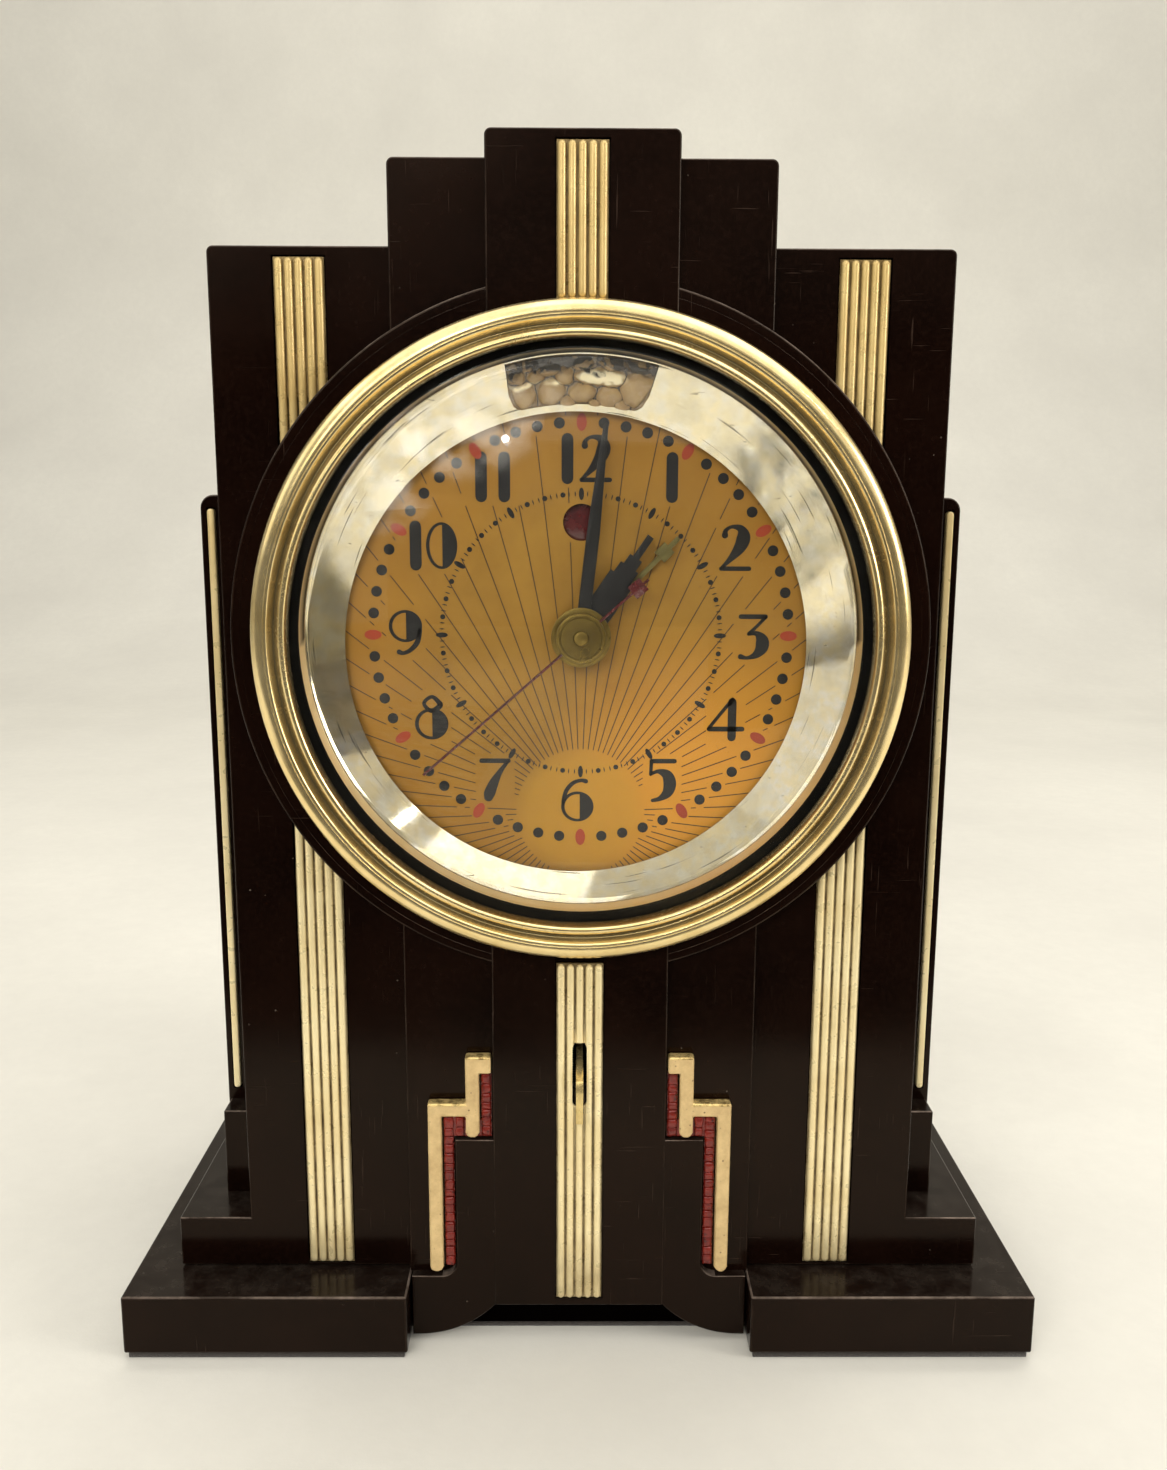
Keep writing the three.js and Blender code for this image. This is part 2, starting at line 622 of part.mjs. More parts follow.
for (const [label, side] of sides) {
  const whole = cut(reededStrip(side * SIDE_STRIP_X, towerFront, SIDE_STRIP_BOTTOM, SIDE_STRIP_TOP),
    ringClear);
  place(clock, `strip_upper_${label}`, whole.intersect(aboveDial), 'ivory');
  place(clock, `strip_lower_${label}`, whole.intersect(belowDial), 'ivory');
}
const leverSlot = wide(SLOT_WIDTH, centreFront - WALL, wallBack, SLOT_BOTTOM, SLOT_TOP);
const centreStrip = cut(reededStrip(0, centreFront, CENTRE_STRIP_BOTTOM, CENTRE_STRIP_TOP), bezelClear,
  leverSlot);
place(clock, 'strip_upper_centre', centreStrip.intersect(aboveDial), 'ivory');
place(clock, 'strip_lower_centre', centreStrip.intersect(belowDial), 'ivory');

// Wing rods: thin bars with a round top
function wingRod(side) {
  const half = ROD_WIDTH / 2;
  const shape = new THREE.Shape();
  shape.moveTo(side * ROD_X + half, ROD_BOTTOM);
  shape.absarc(side * ROD_X, ROD_TOP - half, half, 0, Math.PI, false);
  shape.lineTo(side * ROD_X - half, ROD_BOTTOM);
  const front = baseFront + WING_SETBACK;
  return slab(shape, front - STRIP_PROUD, front + STRIP_SINK - GAP, FINE / 4);
}

// Stepped ornament, right of the arch: a pale trim in two steps, and the textured fill inside each step
const ornamentBack = stepFront - GAP;
const ornamentInner = CENTRE_WIDTH / 2 + GAP;
const trimHighInner = ORNAMENT_HIGH_X - TRIM_WIDTH;
const trimLowInner = ORNAMENT_LOW_X - TRIM_WIDTH;
const neckTop = FOOT_TOP + GAP + WALL;

function trim() {
  const shape = outline([
    [ornamentInner, ORNAMENT_HIGH], [ORNAMENT_HIGH_X, ORNAMENT_HIGH], [ORNAMENT_HIGH_X, ORNAMENT_LOW],
    [ORNAMENT_LOW_X, ORNAMENT_LOW], [ORNAMENT_LOW_X, ORNAMENT_LOW_END], [trimLowInner, ORNAMENT_LOW_END],
    [trimLowInner, ORNAMENT_LOW - ORNAMENT_ARM], [ORNAMENT_HIGH_X, ORNAMENT_LOW - ORNAMENT_ARM],
    [ORNAMENT_HIGH_X, ORNAMENT_HIGH_END], [trimHighInner, ORNAMENT_HIGH_END],
    [trimHighInner, ORNAMENT_HIGH - ORNAMENT_CAP], [ornamentInner, ORNAMENT_HIGH - ORNAMENT_CAP],
  ]);
  const neckClear = box(trimHighInner - OVER, ORNAMENT_HIGH_X + OVER, ornamentBack - FILL_THICK / 2 - GAP,
    ornamentBack + OVER,
    ORNAMENT_HIGH_END - OVER, neckTop + GAP);
  return cut(slab(shape, ornamentBack - TRIM_THICK, ornamentBack), neckClear);
}

// The two parts of the fill are joined by a thin neck behind the end of the trim's upper leg
function fill() {
  const front = ornamentBack - FILL_THICK;
  const low = FOOT_TOP + GAP;
  const lowInner = ORNAMENT_HIGH_X + GAP;
  const lowOuter = trimLowInner - GAP;
  const beside = FOOT_STEP_X + GAP;
  const upper = box(ornamentInner, trimHighInner - GAP, front, ornamentBack, low,
    ORNAMENT_HIGH - ORNAMENT_CAP - GAP);
  const lower = slab(outline([
    [lowInner, ORNAMENT_LOW - ORNAMENT_ARM - GAP], [lowOuter, ORNAMENT_LOW - ORNAMENT_ARM - GAP],
    [lowOuter, ORNAMENT_LOW_END + FILL_LIFT], [beside, ORNAMENT_LOW_END + 2 * FILL_LIFT], [beside, low],
      [lowInner, low],
  ]), front, ornamentBack);
  const neck = box(trimHighInner - OVER, lowInner + OVER, ornamentBack - FILL_THICK / 2, ornamentBack, low,
    neckTop);
  return join(upper, lower, neck);
}

for (const [label, side] of sides) {
  place(clock, `wing_rod_${label}`, wingRod(side), 'ivory');
  place(clock, `trim_${label}`, onSide(side, trim()), 'ivory');
  place(clock, `fill_${label}`, onSide(side, fill()), 'enamel');
}

// Bezel, glass, gasket and reflector
function bezel() {
  const corners = BEZEL_PROFILE.map(([inset, setback]) => [BEZEL_RADIUS - inset, bezelFront + setback]);
  const rebate = glassRadius + GAP;
  const lipBack = bezelFront + BEZEL_LIP;
  return turnedRing([[BEZEL_RADIUS, bezelBack], ...corners, [bezelInner, lipBack], [rebate, lipBack],
    [rebate, bezelBack]]);
}

// The dome springs from inside the bezel's lip, over a flat rim
function crystal() {
  const dome = bezelInner - GAP;
  const arc = (radius, rim, rise) => Array.from({ length: DOME_STEPS + 1 }, (_, step) => {
    const r = (radius * step) / DOME_STEPS;
    return [r, rim - rise * (1 - (r / radius) ** 2)];
  });
  const front = arc(dome, glassFront, GLASS_RISE);
  const back = arc(dome - GLASS_THICK, glassBack, GLASS_RISE);
  return turned([...front, [glassRadius, glassFront], [glassRadius, glassBack], ...back.reverse()]);
}

// A sector of the ring between two radii, about the upright
function sector(inner, outer, halfAngle, y0, y1) {
  const half = radians(halfAngle);
  const shape = new THREE.Shape();
  shape.absarc(0, 0, outer, Math.PI / 2 - half, Math.PI / 2 + half, false);
  shape.absarc(0, 0, inner, Math.PI / 2 + half, Math.PI / 2 - half, true);
  return slab(shape, y0, y1);
}

const reflectorBack = flangeFront + REFLECTOR_DEPTH;

function reflector() {
  const sheet = REFLECTOR_SHEET;
  const flange = BEZEL_RADIUS - GAP;
  const body = turnedRing([[reflectorInner, reflectorBack], [reflectorOuter, flangeFront],
    [flange, flangeFront], [flange, flangeFront + sheet], [reflectorOuter + sheet, flangeFront + sheet],
    [reflectorInner + sheet, reflectorBack]]);
  return cut(body, sector(reflectorInner + DIFFUSER_MARGIN, reflectorOuter - DIFFUSER_MARGIN,
    DIFFUSER_HALF_ANGLE, flangeFront - OVER, reflectorBack + OVER));
}

function diffuser() {
  const sheet = DIFFUSER_SHEET;
  const cone = turnedRing([[reflectorInner, reflectorBack], [reflectorOuter, flangeFront],
    [reflectorOuter + sheet, flangeFront], [reflectorInner + sheet, reflectorBack]]);
  const margin = DIFFUSER_MARGIN + GAP;
  const spare = (GAP / reflectorInner) * (180 / Math.PI);
  return cone.intersect(sector(reflectorInner + margin, reflectorOuter - margin, DIFFUSER_HALF_ANGLE - spare,
    flangeFront - OVER, reflectorBack + OVER));
}

function dialPlate() {
  const feet = [];
  const [footX, footZ] = polar(dialRadius - DIAL_FOOT_INSET, DIAL_FOOT_ANGLE);
  for (const x of [-footX, footX]) {
    for (const z of [-footZ, footZ]) {
      feet.push(rod(x, z, DIAL_FOOT_R, dialFront + DIAL_SHEET / 2, frontPlate - GAP));
    }
  }
  return cut(join(disc(dialRadius, dialFront, dialBack), ...feet),
    rod(0, 0, ALARM_PIPE_R + GAP, dialFront - OVER, dialBack + OVER),
    rod(0, WINDOW_RISE, WINDOW_R, dialFront - OVER, dialBack + OVER));
}

place(works, 'bezel', bezel(), 'brass');
place(works, 'crystal', crystal(), 'glass');
place(works, 'gasket', washer(glassRadius, gasketInner, gasketBack - GASKET_THICK, gasketBack), 'black');
place(works, 'reflector', reflector(), 'mirror');
place(works, 'lamp_diffuser', diffuser(), 'amber');
place(works, 'dial_plate', dialPlate(), 'dial');

// Hands, drawn upright and then turned to their angle
const handFront = (layer) => dialFront - HAND_FIRST - HAND_SHEET - layer * HAND_PITCH;
const alarmHandFront = handFront(0);
const hourHandFront = handFront(1);
const minuteHandFront = handFront(2);
const secondHandFront = handFront(3);

function hand(shape, pipe, front) {
  const bore = pipe + GAP;
  const sheet = slab(shape, front, front + HAND_SHEET);
  const eye = rod(0, 0, bore + HAND_EYE, front, front + HAND_SHEET);
  return cut(join(sheet, eye), rod(0, 0, bore, front - OVER, front + OVER));
}

const bar = (width, from, to) => [[-width / 2, from], [width / 2, from], [width / 2, to], [-width / 2, to]];

function minuteHand() {
  const half = MINUTE_WIDTH / 2;
  const tip = MINUTE_TIP / 2;
  const taper = MINUTE_LENGTH / 2;
  const shape = outline([[-half, 0], [half, 0], [half, taper], [tip, MINUTE_LENGTH - tip], [0, MINUTE_LENGTH],
    [-tip, MINUTE_LENGTH - tip], [-half, taper]]);
  const hub = washer(HUB_R, ARBOR_R + GAP, minuteHandFront - HUB_THICK, minuteHandFront, FINE * 2);
  return join(hand(shape, CANNON_R, minuteHandFront), hub);
}

function hourHand() {
  const right = [];
  HOUR_WIDTHS.forEach((width, step) => {
    const start = step === 0 ? 0 : HOUR_STEPS[step - 1];
    const end = HOUR_STEPS[step] ?? HOUR_LENGTH;
    right.push([width / 2, start], [width / 2, end]);
  });
  const left = right.map(([x, z]) => [-x, z]).reverse();
  return hand(outline([...right, ...left]), HOUR_PIPE_R, hourHandFront);
}

function alarmHand() {
  const body = hand(outline(bar(ALARM_WIDTH, 0, ALARM_LENGTH)), ALARM_PIPE_R, alarmHandFront);
  const half = ALARM_SQUARE / 2;
  const square = slab(outline(bar(ALARM_SQUARE, ALARM_SQUARE_AT - half, ALARM_SQUARE_AT + half)),
    alarmHandFront, alarmHandFront + HAND_SHEET);
  return join(body, square);
}

function secondHand() {
  const half = SECOND_SQUARE / 2;
  const flat = (points) => slab(outline(points), secondHandFront, secondHandFront + HAND_SHEET);
  const body = hand(outline(bar(SECOND_WIDTH, -SECOND_TAIL, SECOND_LENGTH)), ARBOR_R, secondHandFront);
  const capFront = secondHandFront - CAP_THICK;
  return join(body, flat(bar(SECOND_SQUARE, -SECOND_SQUARE_AT - half, half - SECOND_SQUARE_AT)),
    disc(CAP_R, capFront, secondHandFront, FINE * 2), disc(PIP_R, capFront - PIP_THICK, capFront, FINE));
}

const centre = [0, 0];
place(works, 'alarm_hand', alarmHand(), 'oldBrass', centre, ALARM_ANGLE);
place(works, 'hour_hand', hourHand(), 'black', centre, HOUR_ANGLE);
place(works, 'minute_hand', minuteHand(), 'black', centre, MINUTE_ANGLE);
place(works, 'second_hand', secondHand(), 'red', centre, SECOND_ANGLE);

// A toothed wheel about its own arbor; the phase is the angle of its first tooth
function gear(teeth, module, phase, y0, y1) {
  const pitchRadius = (teeth * module) / 2;
  const root = pitchRadius - ROOT_MODULES * module;
  const tip = pitchRadius + TIP_MODULES * module;
  const pitch = (2 * Math.PI) / teeth;
  const points = [];
  for (let tooth = 0; tooth < teeth; tooth += 1) {
    const corners = [[root, -ROOT_SHARE], [tip, -TIP_SHARE], [tip, TIP_SHARE], [root, ROOT_SHARE]];
    for (const [radius, share] of corners) {
      const angle = phase + (tooth + share) * pitch;
      points.push([radius * Math.cos(angle), radius * Math.sin(angle)]);
    }
  }
  return slab(outline(points), y0, y1);
}

// The phase that a wheel needs so that its teeth fall between those of the wheel it meshes with
function mesh(phase, teeth, direction, otherTeeth) {
  const past = ((direction - phase) * teeth) / (2 * Math.PI);
  const share = past - Math.floor(past);
  return direction + Math.PI + ((share + 0.5) * 2 * Math.PI) / otherTeeth;
}

const wheelBack = (layer) => layer + WHEEL_SHEET;
const pinionEnds = (layer) => [layer - PINION_OVERHANG, wheelBack(layer) + PINION_OVERHANG];
const bored = (body, radius) => cut(body, rod(0, 0, radius, dialFront - BASE_DEPTH, baseBack));

// Motion work and alarm work, in front of the front plate
const toMinuteWheel = radians(MOTION_ANGLE);
const toTimePinion = radians(TIME_ANGLE);
const toAlarmPinion = radians(ALARM_SHAFT_ANGLE);
const minuteWheelPhase = mesh(0, CANNON_TEETH, toMinuteWheel, MINUTE_WHEEL_TEETH);
const timePinionPhase = mesh(minuteWheelPhase, MINUTE_WHEEL_TEETH, toTimePinion, TIME_PINION_TEETH);
const hourPhase = mesh(0, MINUTE_PINION_TEETH, toMinuteWheel + Math.PI, HOUR_TEETH);
const alarmPinionPhase = mesh(0, ALARM_TEETH, toAlarmPinion, ALARM_PINION_TEETH);
const cannonBack = wheelBack(centreLayer) + GAP;

const cannon = join(rod(0, 0, CANNON_R, minuteHandFront + GAP, cannonBack),
  gear(CANNON_TEETH, motionModule, 0, ...pinionEnds(minuteLayer)));
place(works, 'minute_cannon', bored(cannon, ARBOR_R + GAP), 'brass');

const hourWheel = join(rod(0, 0, HOUR_PIPE_R, hourHandFront, wheelBack(hourLayer)),
  gear(HOUR_TEETH, hourModule, hourPhase, hourLayer, wheelBack(hourLayer)));
place(works, 'hour_wheel', bored(hourWheel, CANNON_R + GAP), 'brass');

const alarmWheel = join(rod(0, 0, ALARM_PIPE_R, alarmHandFront, wheelBack(alarmLayer)),
  gear(ALARM_TEETH, alarmModule, 0, alarmLayer, wheelBack(alarmLayer)));
place(works, 'alarm_wheel', bored(alarmWheel, HOUR_PIPE_R + GAP), 'brass');

const minuteWheel = join(gear(MINUTE_WHEEL_TEETH, motionModule, minuteWheelPhase, minuteLayer,
  wheelBack(minuteLayer)),
  gear(MINUTE_PINION_TEETH, hourModule, 0, hourLayer, minuteLayer));
place(works, 'minute_wheel', bored(minuteWheel, STUD_R + GAP), 'brass', minuteWheelAt);

// A setting shaft runs from its pinion to its knob behind the back cover
function settingShaft(teeth, module, phase, layer) {
  const knobBack = knobFront + KNOB_LENGTH;
  const knob = turned([[0, knobFront], [KNOB_R, knobFront], [KNOB_R, knobBack - KNOB_CHAMFER],
    [KNOB_R - KNOB_CHAMFER, knobBack], [0, knobBack]], FINE);
  const [pinionFront, pinionBack] = pinionEnds(layer);
  const shaft = rod(0, 0, SHAFT_R, pinionFront, knobBack - OVER);
  return join(gear(teeth, module, phase, pinionFront, pinionBack), shaft, knob);
}

const timeShaft = settingShaft(TIME_PINION_TEETH, motionModule, timePinionPhase, minuteLayer);
place(works, 'time_shaft', timeShaft, 'oldBrass', timeAt);
const alarmShaft = settingShaft(ALARM_PINION_TEETH, alarmModule, alarmPinionPhase, alarmLayer);
place(works, 'alarm_shaft', alarmShaft, 'oldBrass', alarmAt);

// Running train, between the plates
const toThird = radians(THIRD_ANGLE);
const thirdPhase = mesh(0, SECOND_PINION_TEETH, toThird, THIRD_TEETH);
const centrePhase = mesh(0, THIRD_PINION_TEETH, toThird + Math.PI, CENTRE_TEETH);
const rotorPhase = mesh(0, SECOND_WHEEL_TEETH, radians(ROTOR_ANGLE), ROTOR_PINION_TEETH);
const [thirdPinionFront] = pinionEnds(centreLayer);
const [secondPinionFront] = pinionEnds(thirdLayer);

const secondWheel = join(
  gear(SECOND_WHEEL_TEETH, rotorModule, 0, secondLayer, wheelBack(secondLayer)),
  gear(SECOND_PINION_TEETH, thirdModule, 0, secondPinionFront, secondLayer),
  rod(0, 0, ARBOR_R, secondHandFront + GAP, plateBack));
place(works, 'second_wheel', secondWheel, 'brass');

const thirdWheel = join(
  gear(THIRD_TEETH, thirdModule, thirdPhase, thirdLayer, wheelBack(thirdLayer)),
  gear(THIRD_PINION_TEETH, centreModule, 0, thirdPinionFront, thirdLayer),
  rod(0, 0, PIVOT_R, frontPlate, plateBack));
place(works, 'third_wheel', thirdWheel, 'brass', thirdAt);

const centreWheel = gear(CENTRE_TEETH, centreModule, centrePhase, centreLayer, wheelBack(centreLayer));
place(works, 'centre_wheel', bored(centreWheel, CANNON_R + GAP), 'brass');

// Plates and pillars
const pillarX = PLATE_WIDTH / 2 - PILLAR_INSET;
const pillarZ = PLATE_HEIGHT / 2 - PILLAR_INSET;
const shafts = [[timeAt, SHAFT_R], [alarmAt, SHAFT_R], [flagAt, FLAG_ARBOR_R], [thirdAt, PIVOT_R]];

function plate(front, holes) {
  const half = PLATE_HEIGHT / 2;
  const body = wide(PLATE_WIDTH, front, front + PLATE_SHEET, -half, half);
  return cut(body, ...holes.map(([[x, z], radius]) => rod(x, z, radius + GAP, front - OVER,
    front + PLATE_SHEET + OVER)));
}

function frontPlateBody() {
  const body = plate(frontPlate, [...shafts, [centre, CANNON_R]]);
  const reach = 2 * movementScrewX + STRAP_HEIGHT / 3;
  const strap = wide(reach, frontPlate, frontPlate + PLATE_SHEET, -STRAP_HEIGHT / 2, STRAP_HEIGHT / 2);
  const ends = cut(strap, wide(PLATE_WIDTH - OVER, frontPlate - OVER, frontPlate + PLATE_SHEET + OVER,
    -PLATE_HEIGHT, PLATE_HEIGHT));
  const screws = [-movementScrewX, movementScrewX].map((x) => (
    rod(x, 0, SCREW_R + GAP, frontPlate - OVER, frontPlate + PLATE_SHEET + OVER)));
  const [studX, studZ] = minuteWheelAt;
  return join(cut(join(body, ends), ...screws), rod(studX, studZ, STUD_R, hourLayer,
    frontPlate + PLATE_SHEET / 2));
}

function backPlateBody() {
  const body = plate(backPlate, [...shafts, [centre, ARBOR_R], [rotorAt, PIVOT_R]]);
  const posts = [-MOTOR_POST_X, MOTOR_POST_X].map((x) => (
    rod(x, MOTOR_POST_Z - DIAL_Z, MOTOR_POST_R, backPlate + PLATE_SHEET / 2,
      plateBack + MOTOR_SETBACK - GAP)));
  return join(body, ...posts);
}

place(works, 'front_plate', frontPlateBody(), 'brass');
place(works, 'back_plate', backPlateBody(), 'brass');
const pillars = [['pillar_top', 0, pillarZ], ['pillar_left', -pillarX, -pillarZ],
  ['pillar_right', pillarX, -pillarZ]];
for (const [name, x, z] of pillars) {
  place(works, name, rod(0, 0, PILLAR_R, frontPlate + PLATE_SHEET + GAP, backPlate - GAP), 'brass', [x, z]);
}

// Screws along Y, their heads at the back
function screw(headFront, length) {
  const head = rod(0, 0, SCREW_HEAD_R, headFront, headFront + SCREW_HEAD);
  return join(head, rod(0, 0, SCREW_R, headFront - length, headFront + SCREW_HEAD / 2));
}

for (const [label, side] of sides) {
  const movementScrew = screw(frontPlate + PLATE_SHEET + GAP, MOVEMENT_SCREW_LENGTH);
  place(works, `movement_screw_${label}`, movementScrew, 'steel', [side * movementScrewX, 0]);
  place(clock, `cover_screw_${label}`, screw(coverBack + GAP, SCREW_LENGTH), 'steel',
    [side * postX, COVER_SCREW_Z]);
  const headTop = FELT_THICK + GAP + SCREW_HEAD;
  const upwards = join(upright(0, BASE_SCREW_Y, SCREW_HEAD_R, FELT_THICK + GAP, headTop),
    upright(0, BASE_SCREW_Y, SCREW_R, headTop - SCREW_HEAD / 2, headTop + SCREW_LENGTH));
  place(clock, `base_screw_${label}`, upwards, 'steel', [side * postX, 0]);
}

// Motor, with its core standing behind the back plate
const coreFront = plateBack + MOTOR_SETBACK;
const coreBack = coreFront + CORE_STACK;
const [, rotorZ] = rotorAt;
const rotorHeight = DIAL_Z + rotorZ;

function fieldCore() {
  const headRadius = CAPSULE_R + GAP + CORE_BRIDGE;
  const headBottom = rotorHeight - headRadius;
  const body = wide(CORE_WIDTH, coreFront, coreBack, CORE_BOTTOM, rotorHeight + headRadius);
  const window = wide(CORE_WIDTH - 2 * CORE_LEG, coreFront - OVER, coreBack + OVER,
    CORE_BOTTOM + CORE_YOKE, headBottom);
  return cut(body, window, rod(0, rotorHeight, CAPSULE_R + GAP, coreFront - OVER, coreBack + OVER, ROUND));
}

function fieldCoil() {
  const length = CORE_WIDTH - 2 * CORE_LEG - 2 * GAP;
  const yokeTop = CORE_BOTTOM + CORE_YOKE;
  return cut(
    wide(length, coreFront - COIL_WALL - GAP, coreBack + COIL_WALL + GAP, CORE_BOTTOM - COIL_WALL - GAP,
      yokeTop + COIL_WALL + GAP),
    wide(length + 2 * OVER, coreFront - GAP, coreBack + GAP, CORE_BOTTOM - GAP, yokeTop + GAP));
}

function rotorCapsule() {
  const front = coreFront - CAPSULE_FRONT;
  const nose = rod(0, 0, CAPSULE_NOSE_R, plateBack + GAP, front + OVER);
  const body = join(disc(CAPSULE_R, front, front + CAPSULE_LENGTH), nose);
  return cut(body, rod(0, 0, PIVOT_R + GAP, plateBack - OVER, front + CAPSULE_LENGTH / 2));
}

place(clock, 'field_core', fieldCore(), 'steel');
place(clock, 'field_coil', fieldCoil(), 'copper');
place(works, 'rotor_capsule', rotorCapsule(), 'copper', rotorAt);
const [rotorFront, rotorBack] = pinionEnds(secondLayer);
const rotorPinion = join(gear(ROTOR_PINION_TEETH, rotorModule, rotorPhase, rotorFront, rotorBack),
  rod(0, 0, PIVOT_R, rotorFront, coreFront + CAPSULE_LENGTH / 4));
place(works, 'rotor_pinion', rotorPinion, 'brass', rotorAt);

// A spring reed on the core, which the alarm lets the core's field shake
function alarmReed() {
  const right = -(CORE_WIDTH - CORE_LEG + REED_WIDTH) / 2 + REED_WIDTH;
  const left = right - REED_WIDTH;
  const standBack = coreBack + GAP + REED_STAND;
  return join(box(left, right, coreBack + GAP, standBack, REED_TOP - REED_FOOT, REED_TOP),
    box(left, right, standBack - REED_SHEET, standBack, REED_TOP - REED_LENGTH, REED_TOP));
}

place(clock, 'alarm_reed', alarmReed(), 'steel');

// Power-failure flag on an arbor that ends in its reset lever behind the cover
function powerFlag() {
  const half = FLAG_ARM_WIDTH / 2;
  const flagBack = flagFront + FLAG_SHEET;
  const arm = box(-FLAG_ARM, 0, flagFront, flagBack, -half, half);
  const resetBack = knobFront + RESET_SHEET;
  const reset = box(-RESET_WIDTH / 2, RESET_WIDTH / 2, knobFront, resetBack, -RESET_WIDTH / 2, RESET_LENGTH);
  return join(arm, rod(-FLAG_ARM, 0, FLAG_R, flagFront, flagBack, FINE * 2),
    rod(0, 0, FLAG_ARBOR_R, flagFront, knobFront + RESET_SHEET / 2), reset);
}

place(works, 'flag_lever', powerFlag(), 'red', flagAt);

// Front lever on a pin between the bracket's ears; its tail works the switch on the bracket's shelf
const leverY = wallBack + LEVER_PIVOT;
const shelfTop = LEVER_Z - BRACKET_RISE + BRACKET_SHEET;

function frontLever() {
  const slope = Math.tan(radians(LEVER_SLOPE));
  const half = LEVER_HEIGHT / 2;
  const bend = centreFront - STRIP_PROUD - LEVER_REACH - leverY;
  const nose = bend - LEVER_NOSE;
  const tip = bend * slope - half - LEVER_DROP;
  const chamfered = nose + LEVER_CHAMFER;
  const shape = outline([[LEVER_TAIL, LEVER_TAIL * slope + half], [chamfered, chamfered * slope + half],
    [nose, nose * slope], [nose, tip], [bend - LEVER_TAPER, tip], [bend, bend * slope - half],
    [LEVER_TAIL, LEVER_TAIL * slope - half]]);
  const flat = sideSlab(shape, -LEVER_SHEET / 2, LEVER_SHEET / 2);
  const bore = LEVER_PIN_R + GAP;
  const eye = crossbar(bore + LEVER_EYE, -LEVER_SHEET / 2, LEVER_SHEET / 2, 0, 0);
  const lever = cut(join(flat, eye), crossbar(bore, -LEVER_SHEET, LEVER_SHEET, 0, 0));
  return lever.translate([0, leverY, LEVER_Z]);
}

function leverBracket() {
  const front = wallBack + GAP;
  const bottom = shelfTop - BRACKET_SHEET;
  const earTop = LEVER_Z + LEVER_HEIGHT;
  let body = join(wide(2 * BRACKET_HALF, front, front + BRACKET_SHELF, bottom, shelfTop),
    crossbar(LEVER_PIN_R, -BRACKET_HALF, BRACKET_HALF, leverY, LEVER_Z));
  for (const [, side] of sides) {
    const ear = box(BRACKET_HALF - BRACKET_SHEET, BRACKET_HALF, front, front + BRACKET_EAR, bottom, earTop);
    const lug = box(BRACKET_HALF - BRACKET_SHEET, BRACKET_HALF + BRACKET_LUG, front, front + BRACKET_SHEET,
      bottom, earTop);
    body = join(body, onSide(side, join(ear, lug)));
  }
  return body;
}

function switchBlock() {
  const bottom = shelfTop + GAP;
  const back = wallBack + GAP + BRACKET_SHELF - OVER;
  const top = bottom + SWITCH_HEIGHT;
  const block = wide(SWITCH_WIDTH, back - SWITCH_DEPTH, back, bottom, top);
  return join(block, upright(0, back - SWITCH_DEPTH / 2, BUTTON_R, top - OVER, top + BUTTON_RISE));
}

place(clock, 'front_lever', frontLever(), 'oldBrass');
place(clock, 'lever_bracket', leverBracket(), 'steel');
place(clock, 'switch_block', switchBlock(), 'black');

// Lamp behind the diffuser, its socket in a bracket on the back plate
const lampY = dialFront + LAMP_SETBACK;
const socketFront = lampY + BULB_R - SOCKET_CLEAR;

function lampBulb() {
  const corners = Array.from({ length: FINE / 2 + 1 }, (_, step) => {
    const angle = (Math.PI * step * 2) / FINE;
    return [BULB_R * Math.sin(angle), lampY - BULB_R * Math.cos(angle)];
  });
  const globe = turned(corners, FINE);
  return join(globe, rod(0, 0, BULB_BASE_R, lampY + BULB_R / 2, lampY + BULB_R / 2 + BULB_BASE));
}

function lampSocket() {
  const front = lampY + BULB_R + GAP;
  return cut(rod(0, 0, SOCKET_R, front, front + SOCKET_LENGTH),
    rod(0, 0, BULB_BASE_R + GAP, front - OVER, lampY + BULB_R / 2 + BULB_BASE + SOCKET_CLEAR));
}

function lampBracket() {
  const front = plateBack + GAP;
  const back = front + PLATE_SHEET;
  const body = wide(2 * LAMP_BRACKET_HALF, front, back, PLATE_HEIGHT / 2 - LAMP_BRACKET_FOOT,
    LAMP_RISE + LAMP_BRACKET_HALF);
  return cut(body, rod(0, LAMP_RISE, SOCKET_R + GAP, front - OVER, back + OVER));
}

place(works, 'lamp_bulb', lampBulb(), 'glass', [0, LAMP_RISE]);
place(works, 'lamp_socket', lampSocket(), 'black', [0, LAMP_RISE]);
place(works, 'lamp_bracket', lampBracket(), 'steel');

// Back cover with its vents, and the grommet for the cord
function backCover() {
  const panel = (width, top) => wide(width - 2 * (WALL + GAP), coverFront, coverBack, caseBottom,
    top - WALL - GAP);
  const through = (x, z, radius) => rod(x, z, radius, coverFront - OVER, coverBack + OVER);
  const holes = [
    through(timeAt[0], DIAL_Z + timeAt[1], SHAFT_R + KNOB_CLEAR),
    through(alarmAt[0], DIAL_Z + alarmAt[1], SHAFT_R + KNOB_CLEAR),
    through(flagAt[0], DIAL_Z + flagAt[1], FLAG_ARBOR_R + KNOB_CLEAR),
    through(0, GROMMET_Z, GROMMET_R + GAP),
    through(-postX, COVER_SCREW_Z, SCREW_R + GAP),
    through(postX, COVER_SCREW_Z, SCREW_R + GAP),
  ];
  for (let vent = 0; vent < VENTS; vent += 1) {
    const bottom = VENT_FIRST + vent * VENT_PITCH;
    holes.push(wide(VENT_WIDTH, coverFront - OVER, coverBack + OVER, bottom, bottom + VENT_HEIGHT));
  }
  const panels = join(panel(TOWER_WIDTH, TOWER_TOP), panel(STEP_WIDTH, STEP_TOP),
    panel(CENTRE_WIDTH, CENTRE_TOP));
  return cut(panels, ...holes);
}

